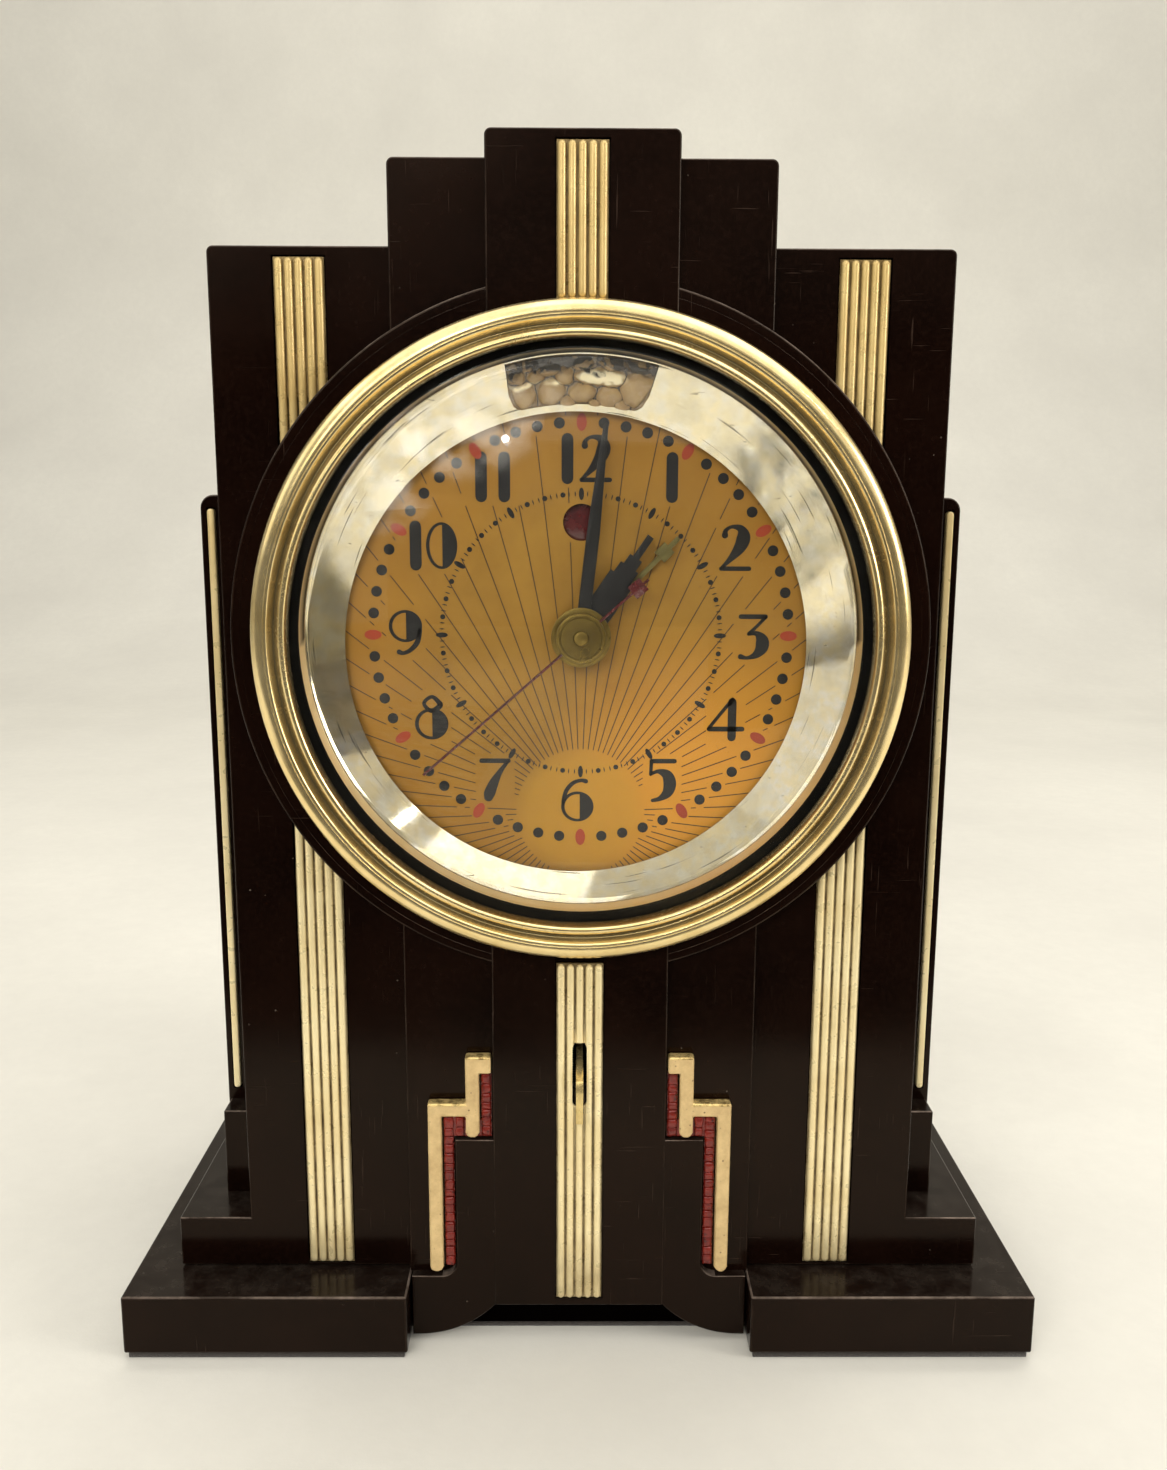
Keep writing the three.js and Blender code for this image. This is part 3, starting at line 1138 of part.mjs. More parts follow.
function cordGrommet() {
  const flangeFrom = coverBack + GAP;
  const flange = rod(0, 0, GROMMET_FLANGE, flangeFrom, flangeFrom + GROMMET_FLANGE_THICK);
  const barrel = rod(0, 0, GROMMET_R, coverFront - COVER_SHEET, flangeFrom + GROMMET_FLANGE_THICK / 2);
  return cut(join(barrel, flange), rod(0, 0, GROMMET_BORE, coverFront - BASE_DEPTH, baseBack));
}

place(clock, 'back_cover', backCover(), 'black');
place(clock, 'cord_grommet', cordGrommet(), 'black', [0, GROMMET_Z]);

export default clock;
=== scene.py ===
"""Looks of the stepped electric alarm clock: pieces, materials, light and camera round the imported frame."""

import json
import math
import random

import bmesh
import bpy
from mathutils import Matrix, Vector, noise


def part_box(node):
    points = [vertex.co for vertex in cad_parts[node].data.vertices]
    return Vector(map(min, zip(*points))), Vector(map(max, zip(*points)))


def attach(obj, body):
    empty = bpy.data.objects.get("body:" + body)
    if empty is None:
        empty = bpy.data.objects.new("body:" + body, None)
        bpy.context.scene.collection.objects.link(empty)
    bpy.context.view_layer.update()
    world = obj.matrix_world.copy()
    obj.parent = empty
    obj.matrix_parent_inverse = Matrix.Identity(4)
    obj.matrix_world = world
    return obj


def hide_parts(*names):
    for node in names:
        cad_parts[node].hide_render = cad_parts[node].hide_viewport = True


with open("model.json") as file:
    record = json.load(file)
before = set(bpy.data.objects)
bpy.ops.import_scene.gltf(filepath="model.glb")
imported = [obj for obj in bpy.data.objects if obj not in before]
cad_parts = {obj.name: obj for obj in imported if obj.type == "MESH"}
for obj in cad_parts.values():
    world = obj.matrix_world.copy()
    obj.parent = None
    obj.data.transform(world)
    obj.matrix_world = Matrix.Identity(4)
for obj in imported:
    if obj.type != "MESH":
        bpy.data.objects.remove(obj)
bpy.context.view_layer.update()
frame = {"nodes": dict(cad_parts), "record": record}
scene = bpy.context.scene
MM = 0.001

# noise_vector starts from the time of day unless it has a seed
noise.seed_set(5)

# Planes and sizes of the part, in millimetres; the front faces -Y
BASE_FRONT = -46
BASE_BACK = 46
BASE_TOP = 11.6
CASE_BOTTOM = 11.9
CASE_BACK = 38
TOWER_FRONT = -37
STEP_FRONT = -39
CENTRE_FRONT = -41
TOWER_TOP = 181.2
STEP_TOP = 193.4
CENTRE_TOP = 197
WALL = 3
GAP = 0.3
WALL_BACK = -34
WING_FRONT = -23.3
WING_BACK = 32
NOTCH_BACK = -37.7
DIAL_Z = 121.8
DIAL_FRONT = -31.5
RING_RADIUS = 55
RING_FRONT = -40.6
BEZEL_RADIUS = 51
BEZEL_FRONT = -45.5
BEZEL_BACK = -39.7
COVER_FRONT = 35
COVER_BACK = 37
TOWER_HALF = 57
STEP_HALF = 29.2
CENTRE_HALF = 14.5
PLINTH_HALF = 69.3
PLINTH_TOP = 20.8
BLOCK_HALF = 63.4
BLOCK_FRONT = -28.3
BLOCK_TOP = 36.3
WING_HALF = 63.8
WING_TOP = 144.3
APRON_BOTTOM = 6.8
BASE_WIDTH = 154
NOTCH_HALF = 29
INLAY_SINK = 0.9

# Places of the inlays, the screws, the knobs and what the dial carries
STRIP_X = 43.1
STRIP_HALF = 3.85
STRIP_LOW = 12.5
STRIP_HIGH = 179.6
CENTRE_STRIP_LOW = 8.2
CENTRE_STRIP_HIGH = 195.4
REED_PITCH = 7.7 / 5
ROD_X = 62
ROD_LOW = 38.6
ROD_HIGH = 142
SCREW_X = 50.6
COVER_SCREW_Z = 60
BASE_SCREW_Y = 8
SCREW_BORE = 1.6
TIME_KNOB = (21.37, 99.67)
ALARM_KNOB = (-21.75, 111.66)
GROMMET_Z = 26
FLAG_X = 24
WINDOW_UP = 18.2
SIX_DOWN = 29.6
MINUTE_RING = 33.9
ALARM_RING = 22.7
HAND_THICK = 0.4


# Camera, solved on the case's edges and the dial's circles
def place_camera():
    place = Vector((-0.9, -235.6, 141.4)) * MM
    yaw = math.radians(0.39)
    pitch = math.radians(10.07)
    roll = math.radians(0.23)
    ahead = Vector((math.sin(yaw) * math.cos(pitch), math.cos(yaw) * math.cos(pitch), -math.sin(pitch)))
    right = Vector((math.cos(yaw), -math.sin(yaw), 0))
    up = right.cross(ahead)
    rolled_right = math.cos(roll) * right + math.sin(roll) * up
    rolled_up = math.cos(roll) * up - math.sin(roll) * right
    data = bpy.data.cameras.new("camera")
    data.sensor_fit = "HORIZONTAL"
    data.sensor_width = 36
    data.lens = 38.42
    data.clip_start = 0.005
    camera = bpy.data.objects.new("camera", data)
    axes = Matrix((rolled_right, rolled_up, -ahead)).transposed().to_4x4()
    camera.matrix_world = Matrix.Translation(place) @ axes
    scene.collection.objects.link(camera)
    scene.camera = camera


# Shader nodes
class Look:
    """A material under construction: its nodes, and short ways to add more."""

    def __init__(self, name):
        self.material = bpy.data.materials.new(name)
        self.material.use_nodes = True
        self.tree = self.material.node_tree
        self.shader = self.tree.nodes["Principled BSDF"]
        self.output = self.tree.nodes["Material Output"]
        self.place = self.add("ShaderNodeTexCoord").outputs["Object"]

    def add(self, kind, inputs=None, **settings):
        made = self.tree.nodes.new(kind)
        for key, value in settings.items():
            setattr(made, key, value)
        for key, value in (inputs or {}).items():
            self.plug(made.inputs[key], value)
        return made

    def plug(self, socket, value):
        if isinstance(value, bpy.types.NodeSocket):
            self.tree.links.new(value, socket)
        else:
            socket.default_value = value

    def set(self, **values):
        for key, value in values.items():
            self.plug(self.shader.inputs[key.replace("_", " ")], value)

    def stretched(self, scale, turn=(0, 0, 0)):
        inputs = {"Vector": self.place, "Scale": scale, "Rotation": turn}
        return self.add("ShaderNodeMapping", inputs).outputs[0]

    def noise(self, scale, detail=3.0, rough=0.55, at=None):
        inputs = {"Vector": at or self.place, "Scale": scale, "Detail": detail, "Roughness": rough}
        return self.add("ShaderNodeTexNoise", inputs).outputs["Fac"]

    def cells(self, scale):
        return self.add("ShaderNodeTexVoronoi", {"Vector": self.place, "Scale": scale}).outputs["Distance"]

    def ramp(self, value, *stops):
        """Colour or grey by value: stops are (position, grey or colour)."""
        made = self.add("ShaderNodeValToRGB", {"Fac": value})
        points = made.color_ramp.elements
        while len(points) < len(stops):
            points.new(0.5)
        for point, (position, shade) in zip(points, stops):
            point.position = position
            point.color = (*shade, 1) if isinstance(shade, tuple) else (shade, shade, shade, 1)
        return made.outputs["Color"]

    def range(self, value, low, high, to_low, to_high):
        inputs = {"Value": value, "From Min": low, "From Max": high, "To Min": to_low, "To Max": to_high}
        return self.add("ShaderNodeMapRange", inputs).outputs[0]

    def patches(self, noise, start, end, most=1.0):
        """Patches of a noise, given by its scale, detail and roughness: 0 below start, most above end."""
        return self.ramp(self.noise(*noise), (start, 0.0), (end, most))

    def uneven(self, scale, detail, low, high):
        """A value that wanders between low and high."""
        return self.range(self.noise(scale, detail), 0.3, 0.7, low, high)

    def distance(self, x, z):
        """Distance in metres from the spot on the dial's face that x and z give in millimetres."""
        spot = (x * MM, DIAL_FRONT * MM, z * MM)
        made = self.add("ShaderNodeVectorMath", {0: self.place, 1: spot}, operation="DISTANCE")
        return made.outputs["Value"]

    def math(self, operation, a, b=0.0):
        made = self.add("ShaderNodeMath", operation=operation)
        self.plug(made.inputs[0], a)
        self.plug(made.inputs[1], b)
        return made.outputs[0]

    def mix(self, factor, a, b):
        made = self.add("ShaderNodeMix", data_type="RGBA")
        self.plug(made.inputs[0], factor)
        self.plug(made.inputs[6], (*a, 1) if isinstance(a, tuple) else a)
        self.plug(made.inputs[7], (*b, 1) if isinstance(b, tuple) else b)
        return made.outputs[2]

    def attribute(self, name):
        return self.add("ShaderNodeAttribute", attribute_name=name).outputs["Fac"]

    def normal(self, axis):
        normal = self.add("ShaderNodeNewGeometry").outputs["Normal"]
        return self.add("ShaderNodeSeparateXYZ", {"Vector": normal}).outputs[axis]

    def height(self):
        return self.add("ShaderNodeSeparateXYZ", {"Vector": self.place}).outputs["Z"]

    def bump(self, *layers):
        """Bumps, each (height, strength, depth in millimetres), one on the other."""
        below = None
        for height, strength, depth in layers:
            inputs = {"Height": height, "Strength": strength, "Distance": depth * MM}
            made = self.add("ShaderNodeBump", inputs)
            if below:
                self.plug(made.inputs["Normal"], below)
            below = made.outputs[0]
        self.plug(self.shader.inputs["Normal"], below)

    def shade(self, shader):
        """Gives the surface another shader than the principled one."""
        self.plug(self.output.inputs["Surface"], shader)

    def mixed_shader(self, factor, first, second):
        made = self.add("ShaderNodeMixShader", {0: factor})
        self.plug(made.inputs[1], first)
        self.plug(made.inputs[2], second)
        return made.outputs[0]

    def light(self, colour, strength):
        return self.add("ShaderNodeEmission", {"Color": colour, "Strength": strength}).outputs[0]


def bakelite(name):
    """Very dark brown moulding with fine scratches, worn edges, a painted highlight on the edges that face
    up, dust on its upward faces and painted shade where burnt is 1.
    """
    look = Look(name)
    grain = look.noise(1400, 2)
    cloud = look.patches((55, 5, 0.6), 0.35, 0.7)
    brown = look.mix(cloud, (0.0028, 0.0009, 0.0005), (0.0062, 0.0022, 0.0012))
    brown = look.mix(look.ramp(grain, (0.45, 0.0), (0.75, 0.5)), brown, (0.009, 0.0038, 0.0024))
    # Fine scratches in two directions
    one = look.noise(1, 2, at=look.stretched((2600, 2600, 90), (0.5, 0.4, 0.3)))
    two = look.noise(1, 2, at=look.stretched((90, 2600, 2600), (0.2, -0.7, 0.2)))
    patches = look.patches((38, 2), 0.5, 0.62)
    one = look.ramp(one, (0.69, 0.0), (0.73, 1.0))
    two = look.ramp(two, (0.7, 0.0), (0.74, 1.0))
    lines = look.math("MAXIMUM", one, two)
    scratches = look.math("MULTIPLY", lines, patches)
    brown = look.mix(look.math("MULTIPLY", scratches, 0.35), brown, (0.06, 0.038, 0.028))
    # Worn edges, a painted highlight on the edges that face up, and dust
    edge = look.attribute("edge")
    worn = look.math("MULTIPLY", edge, look.ramp(look.noise(130, 4, 0.7), (0.45, 0.03), (0.7, 0.3)))
    brown = look.mix(worn, brown, (0.06, 0.038, 0.026))
    # Painted highlight: the edges that face up are painted pale, where the light from above catches them
    lifted = look.ramp(look.normal("Z"), (0.25, 0.0), (0.75, 0.9))
    rubbed_and_highlit = look.math("MULTIPLY", edge, look.ramp(look.noise(90, 5, 0.75), (0.4, 0.12), (0.62, 1.0)))
    brown = look.mix(look.math("MULTIPLY", rubbed_and_highlit, lifted), brown, (0.2, 0.155, 0.125))
    specks = look.ramp(look.cells(420), (0.045, 1.0), (0.075, 0.0))
    rare = look.patches((170, 1), 0.6, 0.66)
    dust = look.math("MULTIPLY", specks, rare)
    upward = look.ramp(look.normal("Z"), (0.6, 0.0), (1.0, 1.0))
    film = look.math("MULTIPLY", upward, look.ramp(look.noise(240, 5, 0.7), (0.4, 0.03), (0.8, 0.22)))
    dusty = look.math("MAXIMUM", look.math("MULTIPLY", dust, 0.7), film)
    brown = look.mix(dusty, brown, (0.11, 0.09, 0.07))
    # Painted shade: where burnt is 1, on the back face of the base's notch, the moulding is painted near
    # black with little gloss
    shaded = look.attribute("burnt")
    brown = look.mix(shaded, brown, (0.0008, 0.0005, 0.0004))
    shine = look.math("MULTIPLY", look.math("SUBTRACT", 1.0, shaded), 0.16)
    look.set(Base_Color=brown, Specular_IOR_Level=shine, Specular_Tint=(1, 0.82, 0.66, 1))
    smear = look.range(look.noise(30, 4, 0.6), 0.3, 0.75, 0.11, 0.22)
    rough = look.math("ADD", smear, look.math("MULTIPLY", look.math("MAXIMUM", worn, film), 0.3))
    look.set(Roughness=rough)
    look.bump((look.noise(60, 2), 0.08, 0.3), (grain, 0.06, 0.02), (lines, 0.12, -0.02))
    return look.material


def inlay(name):
    """Aged ivory reeds: paler low down, more golden high up, and darker in the grooves and at their lowest
    ends.
    """
    look = Look(name)
    high = look.range(look.height(), 0.09, 0.165, 0, 1)
    stain = look.patches((90, 3, 0.5), 0.35, 0.75)
    low_tone = look.mix(stain, (0.88, 0.75, 0.44), (0.74, 0.59, 0.30))
    high_tone = look.mix(stain, (0.62, 0.46, 0.19), (0.47, 0.32, 0.11))
    tone = look.mix(high, low_tone, high_tone)
    groove = look.attribute("groove")
    # Darker in the grooves and towards the lowest ends
    darkening = look.math("MULTIPLY", look.ramp(groove, (0.04, 0.0), (0.42, 1.0)), look.uneven(300, 3, 0.65, 1.0))
    near_base = look.range(look.height(), 0.0125, 0.021, 0.5, 0)
    darkening = look.math("MAXIMUM", darkening, look.math("MULTIPLY", near_base, look.uneven(260, 4, 0.4, 1.0)))
    tone = look.mix(darkening, tone, (0.12, 0.075, 0.025))
    look.set(Base_Color=tone, Metallic=0.3, Roughness=look.uneven(500, 3, 0.24, 0.4))
    look.bump((look.noise(900, 3), 0.08, 0.05))
    return look.material


def cast_trim(name):
    """Cream casting with pits, and gilt on the edges that face up, partly a painted highlight from the light
    above.
    """
    look = Look(name)
    mottle = look.patches((420, 5, 0.7), 0.35, 0.7)
    tone = look.mix(mottle, (0.62, 0.45, 0.21), (0.44, 0.30, 0.13))
    pits = look.ramp(look.cells(900), (0.08, 1.0), (0.2, 0.0))
    rare = look.patches((500, 2), 0.47, 0.55)
    tone = look.mix(look.math("MULTIPLY", pits, rare), tone, (0.14, 0.085, 0.03))
    # Gilt on the faces that face up: partly real gilt, partly a painted highlight where the light from above
    # falls
    bright = look.attribute("edge")
    rubbed_and_highlit = look.patches((700, 4, 0.7), 0.45, 0.6)
    gilt_and_highlight = look.mix(rubbed_and_highlit, (0.9, 0.68, 0.28), (0.22, 0.14, 0.04))
    tone = look.mix(look.math("MULTIPLY", bright, 0.85), tone, gilt_and_highlight)
    look.set(Base_Color=tone, Metallic=look.math("MULTIPLY", bright, 0.6),
             Roughness=look.uneven(600, 3, 0.28, 0.5))
    look.bump((look.noise(500, 5, 0.7), 0.5, 0.18), (pits, 0.4, -0.08))
    return look.material


def red_bricks(name):
    """Dark red lacquer over uneven courses."""
    look = Look(name)
    cloud = look.patches((500, 4, 0.7), 0.35, 0.7)
    tone = look.mix(cloud, (0.21, 0.014, 0.007), (0.1, 0.007, 0.005))
    gaps = look.patches((1100, 3), 0.6, 0.72)
    tone = look.mix(gaps, tone, (0.045, 0.006, 0.005))
    look.set(Base_Color=tone, Roughness=look.uneven(800, 3, 0.2, 0.4), Coat_Weight=0.5,
             Coat_Roughness=0.1, Specular_IOR_Level=0.3)
    look.bump((look.noise(420, 3, 0.5), 0.8, 0.3))
    return look.material


def tarnished_brass(name, clean, stained, rough=(0.16, 0.34), spotted=1.0, metallic=0.9):
    """Brass with clouds and specks of tarnish, dirt in its grooves and soot where burnt is 1."""
    look = Look(name)
    cloud = look.patches((120, 6, 0.68), 0.38, 0.68)
    tone = look.mix(cloud, clean, stained)
    speckle = look.patches((1500, 4, 0.75), 0.56, 0.68)
    patches = look.patches((70, 3), 0.42, 0.66, spotted)
    soot = look.patches((95, 4, 0.6), 0.42, 0.55, 0.85)
    soot_and_shade_mask = look.math("MULTIPLY", look.attribute("burnt"), soot)
    marks = look.math("MULTIPLY", speckle, look.math("MAXIMUM", patches, soot_and_shade_mask))
    tone = look.mix(marks, tone, tuple(0.3 * part for part in stained))
    recess = look.attribute("groove")
    tone = look.mix(look.math("MULTIPLY", recess, 0.8), tone, (0.09, 0.065, 0.025))
    look.set(Base_Color=tone, Metallic=metallic)
    rings = look.noise(1, 2, at=look.stretched((60, 60, 60)))
    shine = look.range(look.noise(180, 3, 0.5), 0.3, 0.75, *rough)
    look.set(Roughness=look.math("ADD", shine, look.math("MULTIPLY", marks, 0.3)))
    look.bump((look.noise(1300, 4, 0.7), 0.06 * spotted, 0.02), (rings, 0.05, 0.2))
    return look.material


def brushed(name, tone, rough=0.32, metallic=1.0, along=(40, 2200, 2200), dark=0.55):
    """Metal brushed along X."""
    look = Look(name)
    lines = look.noise(1, 4, 0.7, at=look.stretched(along))
    cloud = look.noise(90, 4, 0.6)
    shade = look.mix(look.ramp(cloud, (0.35, 0.0), (0.75, 1.0)), tone, tuple(dark * part for part in tone))
    shade = look.mix(look.ramp(lines, (0.4, 0.0), (0.8, 0.5)), shade, tuple(1.25 * part for part in tone))
    shine = look.range(lines, 0.3, 0.7, rough - 0.08, rough + 0.12)
    look.set(Base_Color=shade, Metallic=metallic, Roughness=shine)
    look.bump((lines, 0.15, 0.02))
    return look.material


def dusty_black(name, tone, rough=0.6, bump_scale=900, shine=0.5):
    """Black rubber, board or cloth with a little dust."""
    look = Look(name)
    cloud = look.patches((150, 5, 0.65), 0.35, 0.75)
    shade = look.mix(cloud, tone, tuple(1.8 * part + 0.008 * shine for part in tone))
    wander = look.uneven(300, 3, rough - 0.1, rough + 0.12)
    look.set(Specular_IOR_Level=shine, Base_Color=shade, Roughness=wander)
    look.bump((look.noise(bump_scale, 4, 0.6), 0.3, 0.06))
    return look.material


def enamel(name, tone, rough=0.3, coat=0.3):
    """Stoved enamel with small chips."""
    look = Look(name)
    cloud = look.patches((300, 4, 0.65), 0.35, 0.75)
    chips = look.patches((1600, 4, 0.8), 0.74, 0.78, 0.6)
    shade = look.mix(cloud, tone, tuple(0.6 * part for part in tone))
    shade = look.mix(chips, shade, tuple(1.6 * part + 0.03 for part in tone))
    look.set(Base_Color=shade, Roughness=look.uneven(500, 3, rough - 0.08, rough + 0.12),
             Coat_Weight=coat, Coat_Roughness=0.12)
    look.bump((look.noise(1200, 3), 0.12, 0.02))
    return look.material


def dial_lacquer(name):
    """Gold lacquer, darker in the middle, with a painted pool of light at the lower right, and grime."""
    look = Look(name)
    cloud = look.patches((60, 6, 0.6), 0.3, 0.75)
    tone = look.mix(cloud, (0.315, 0.168, 0.022), (0.21, 0.105, 0.010))
    rim = look.range(look.distance(0, DIAL_Z - 3), 0.022, 0.041, 0, 1)
    tone = look.mix(look.math("MULTIPLY", rim, 0.7), tone, (0.34, 0.152, 0.012))
    # Painted light: a warm bright pool at the lower right of the dial
    glow = look.range(look.distance(22, DIAL_Z - 27), 0.008, 0.03, 0.75, 0)
    tone = look.mix(glow, tone, (0.66, 0.29, 0.024))
    pale = look.range(look.distance(0, DIAL_Z - SIX_DOWN), 0.0085, 0.0115, 0.55, 0)
    tone = look.mix(pale, tone, (0.42, 0.225, 0.022))
    grime = look.patches((900, 5, 0.75), 0.62, 0.8, 0.35)
    tone = look.mix(grime, tone, (0.1, 0.05, 0.012))
    specks = look.ramp(look.cells(650), (0.05, 0.8), (0.1, 0.0))
    rare = look.patches((330, 2), 0.58, 0.66)
    tone = look.mix(look.math("MULTIPLY", specks, rare), tone, (0.12, 0.055, 0.012))
    look.set(Base_Color=tone, Metallic=0.35, Roughness=look.uneven(250, 4, 0.38, 0.55))
    look.bump((look.noise(1300, 3), 0.08, 0.02))
    return look.material


def silvered(name):
    """A tarnished mirror with scratches, painted reflections of the ceiling's edges and painted shade where
    burnt is 1; its rolled rim, where the attribute edge is 1, shows the brass.
    """
    look = Look(name)
    cloud = look.patches((140, 6, 0.65), 0.35, 0.75)
    golden = look.range(look.noise(25, 3, at=look.stretched((18, 18, 18))), 0.35, 0.6, 0.0, 1.0)
    silver = look.mix(golden, (0.80, 0.78, 0.70), (0.84, 0.74, 0.50))
    tone = look.mix(cloud, silver, (0.62, 0.57, 0.42))
    # Scratches that follow the ring, from the polar place of each point
    apart = look.add("ShaderNodeSeparateXYZ", {"Vector": look.place})
    across, high = apart.outputs["X"], look.math("SUBTRACT", apart.outputs["Z"], DIAL_Z * MM)
    turn = look.math("ARCTAN2", across, high)
    squares = [look.math("MULTIPLY", value, value) for value in (across, high)]
    away = look.math("SQRT", look.math("ADD", *squares))
    round_place = look.add("ShaderNodeCombineXYZ", {"X": look.math("MULTIPLY", turn, 2.2),
                                                    "Y": look.math("MULTIPLY", away, 1900)}).outputs[0]
    arcs = look.ramp(look.noise(1, 2, 0.5, at=round_place), (0.66, 0.0), (0.7, 0.75))
    # Dark slanting lines: painted reflections of the ceiling's edges
    reflected_edge_lines = look.noise(1, 3, 0.6, at=look.stretched((130, 900, 1700), (0.3, 0.5, 0.2)))
    reflected_edge_lines = look.ramp(reflected_edge_lines, (0.7, 0.0), (0.74, 0.7))
    blots = look.patches((520, 4, 0.7), 0.7, 0.77, 0.6)
    marks = look.math("MAXIMUM", look.math("MAXIMUM", arcs, reflected_edge_lines), blots)
    # Scratches, the painted reflected lines and blots darken the silver
    tone = look.mix(marks, tone, (0.1, 0.085, 0.05))
    tone = look.mix(look.attribute("edge"), tone, (0.92, 0.80, 0.50))
    # Painted shade: near black where burnt is 1
    tone = look.mix(look.attribute("burnt"), tone, (0.03, 0.022, 0.014))
    shine = look.uneven(300, 4, 0.04, 0.11)
    duller = look.math("MULTIPLY", look.attribute("edge"), 0.4)
    look.set(Base_Color=tone, Metallic=1.0, Roughness=look.math("ADD", shine, duller))
    look.bump((look.noise(90, 3), 0.05, 0.12), (marks, 0.15, -0.02))
    return look.material


def clear_glass(name):
    """Glass that lets the lamps' light through unshadowed, with a faint film of dust."""
    look = Look(name)
    film = look.patches((40, 5, 0.65), 0.5, 0.9, 0.009)
    look.set(Base_Color=(1, 1, 1, 1), Transmission_Weight=1.0, IOR=1.3,
             Roughness=look.uneven(600, 3, 0.0, 0.012))
    powder = look.add("ShaderNodeBsdfDiffuse", {"Color": (0.8, 0.78, 0.7, 1)}).outputs[0]
    dusty = look.mixed_shader(film, look.shader.outputs[0], powder)
    clear = look.add("ShaderNodeBsdfTransparent", {"Color": (0.96, 0.97, 0.95, 1)}).outputs[0]
    shadow = look.add("ShaderNodeLightPath").outputs["Is Shadow Ray"]
    look.shade(look.mixed_shader(shadow, dusty, clear))
    return look.material


def blistered(name):
    """Heat-blistered amber sheet: dark seams (groove), painted highlights on the plateau and the blisters'
    upper arcs (edge) and a charred top (burnt).
    """
    look = Look(name)
    cloud = look.patches((380, 5, 0.65), 0.35, 0.7)
    tone = look.mix(cloud, (0.36, 0.24, 0.10), (0.24, 0.145, 0.06))
    # Painted highlight: cream where edge is 1, on the plateau and the arcs over the upper left blisters
    tone = look.mix(look.attribute("edge"), tone, (0.86, 0.76, 0.5))
    tone = look.mix(look.attribute("burnt"), tone, (0.02, 0.014, 0.009))
    tone = look.mix(look.ramp(look.attribute("groove"), (0.2, 0.0), (0.7, 1.0)), tone, (0.025, 0.014, 0.007))
    look.set(Base_Color=tone, Roughness=look.uneven(500, 3, 0.12, 0.28), Coat_Weight=0.6,
             Subsurface_Weight=0.1, Subsurface_Radius=(0.002, 0.001, 0.0005))
    look.bump((look.noise(900, 4, 0.6), 0.2, 0.05))
    return look.material


def creased_cloth(name, dark, pale, scale):
    """Cloth of the stage with hard folds, for the broken reflections at the mirror's right."""
    look = Look(name)
    folds = look.noise(1, 5, 0.7, at=look.stretched((scale, 3.5 * scale, scale), (0.1, 0.2, 0.6)))
    look.set(Base_Color=look.mix(look.ramp(folds, (0.42, 0.0), (0.6, 1.0)), dark, pale), Roughness=0.8)
    return look.material


def felt_cloth(name):
    look = Look(name)
    fibres = look.noise(2600, 4, 0.8)
    tone = look.mix(look.ramp(fibres, (0.35, 0.0), (0.7, 1.0)), (0.012, 0.009, 0.007), (0.045, 0.035, 0.028))
    look.set(Base_Color=tone, Roughness=0.95, Sheen_Weight=0.5, Sheen_Roughness=0.5)
    look.bump((fibres, 0.8, 0.2))
    return look.material


def winding(name):
    """Lacquered copper wire."""
    look = Look(name)
    inputs = {"Vector": look.place, "Scale": 420.0, "Distortion": 1.2, "Detail": 2.0, "Detail Scale": 3.0}
    turns = look.add("ShaderNodeTexWave", inputs, bands_direction="X").outputs["Fac"]
    tone = look.mix(turns, (0.09, 0.03, 0.012), (0.34, 0.13, 0.05))
    tone = look.mix(look.patches((200, 4), 0.4, 0.8, 0.7), tone, (0.12, 0.045, 0.02))
    look.set(Base_Color=tone, Metallic=0.3, Roughness=0.34, Coat_Weight=0.4, Coat_Roughness=0.2)
    look.bump((turns, 0.7, 0.12))
    return look.material


def laminations(name):
    """A stack of steel sheets with spots of rust."""
    look = Look(name)
    sheets = look.add("ShaderNodeTexWave", {"Vector": look.place, "Scale": 320.0, "Distortion": 0.3},
                      bands_direction="Y").outputs["Fac"]
    tone = look.mix(look.ramp(sheets, (0.3, 0.0), (0.6, 1.0)), (0.07, 0.065, 0.06), (0.3, 0.3, 0.31))
    rust = look.patches((260, 5, 0.7), 0.58, 0.72, 0.6)
    tone = look.mix(rust, tone, (0.2, 0.09, 0.04))
    look.set(Base_Color=tone, Metallic=0.9, Roughness=look.uneven(300, 3, 0.35, 0.6))
    look.bump((sheets, 0.5, 0.1))
    return look.material


def print_ink(name, tone):
    look = Look(name)
    thin = look.patches((1800, 4, 0.7), 0.55, 0.8, 0.5)
    shade = look.mix(thin, tone, tuple(0.6 * part + 0.05 for part in tone))
    look.set(Base_Color=shade, Roughness=look.uneven(500, 3, 0.32, 0.5))
    look.bump((look.noise(1500, 3), 0.1, 0.01))
    return look.material


def paper(name):
    """Pale backdrop paper."""
    look = Look(name)
    cloud = look.patches((9, 6, 0.6), 0.3, 0.75)
    tone = look.mix(cloud, (0.74, 0.72, 0.645), (0.66, 0.64, 0.575))
    mottle = look.patches((160, 5, 0.7), 0.35, 0.8, 0.35)
    tone = look.mix(mottle, tone, (0.62, 0.60, 0.54))
    look.set(Base_Color=tone, Roughness=0.9, Specular_IOR_Level=0.2)
    look.bump((look.noise(300, 5, 0.7), 0.25, 0.3))
    return look.material


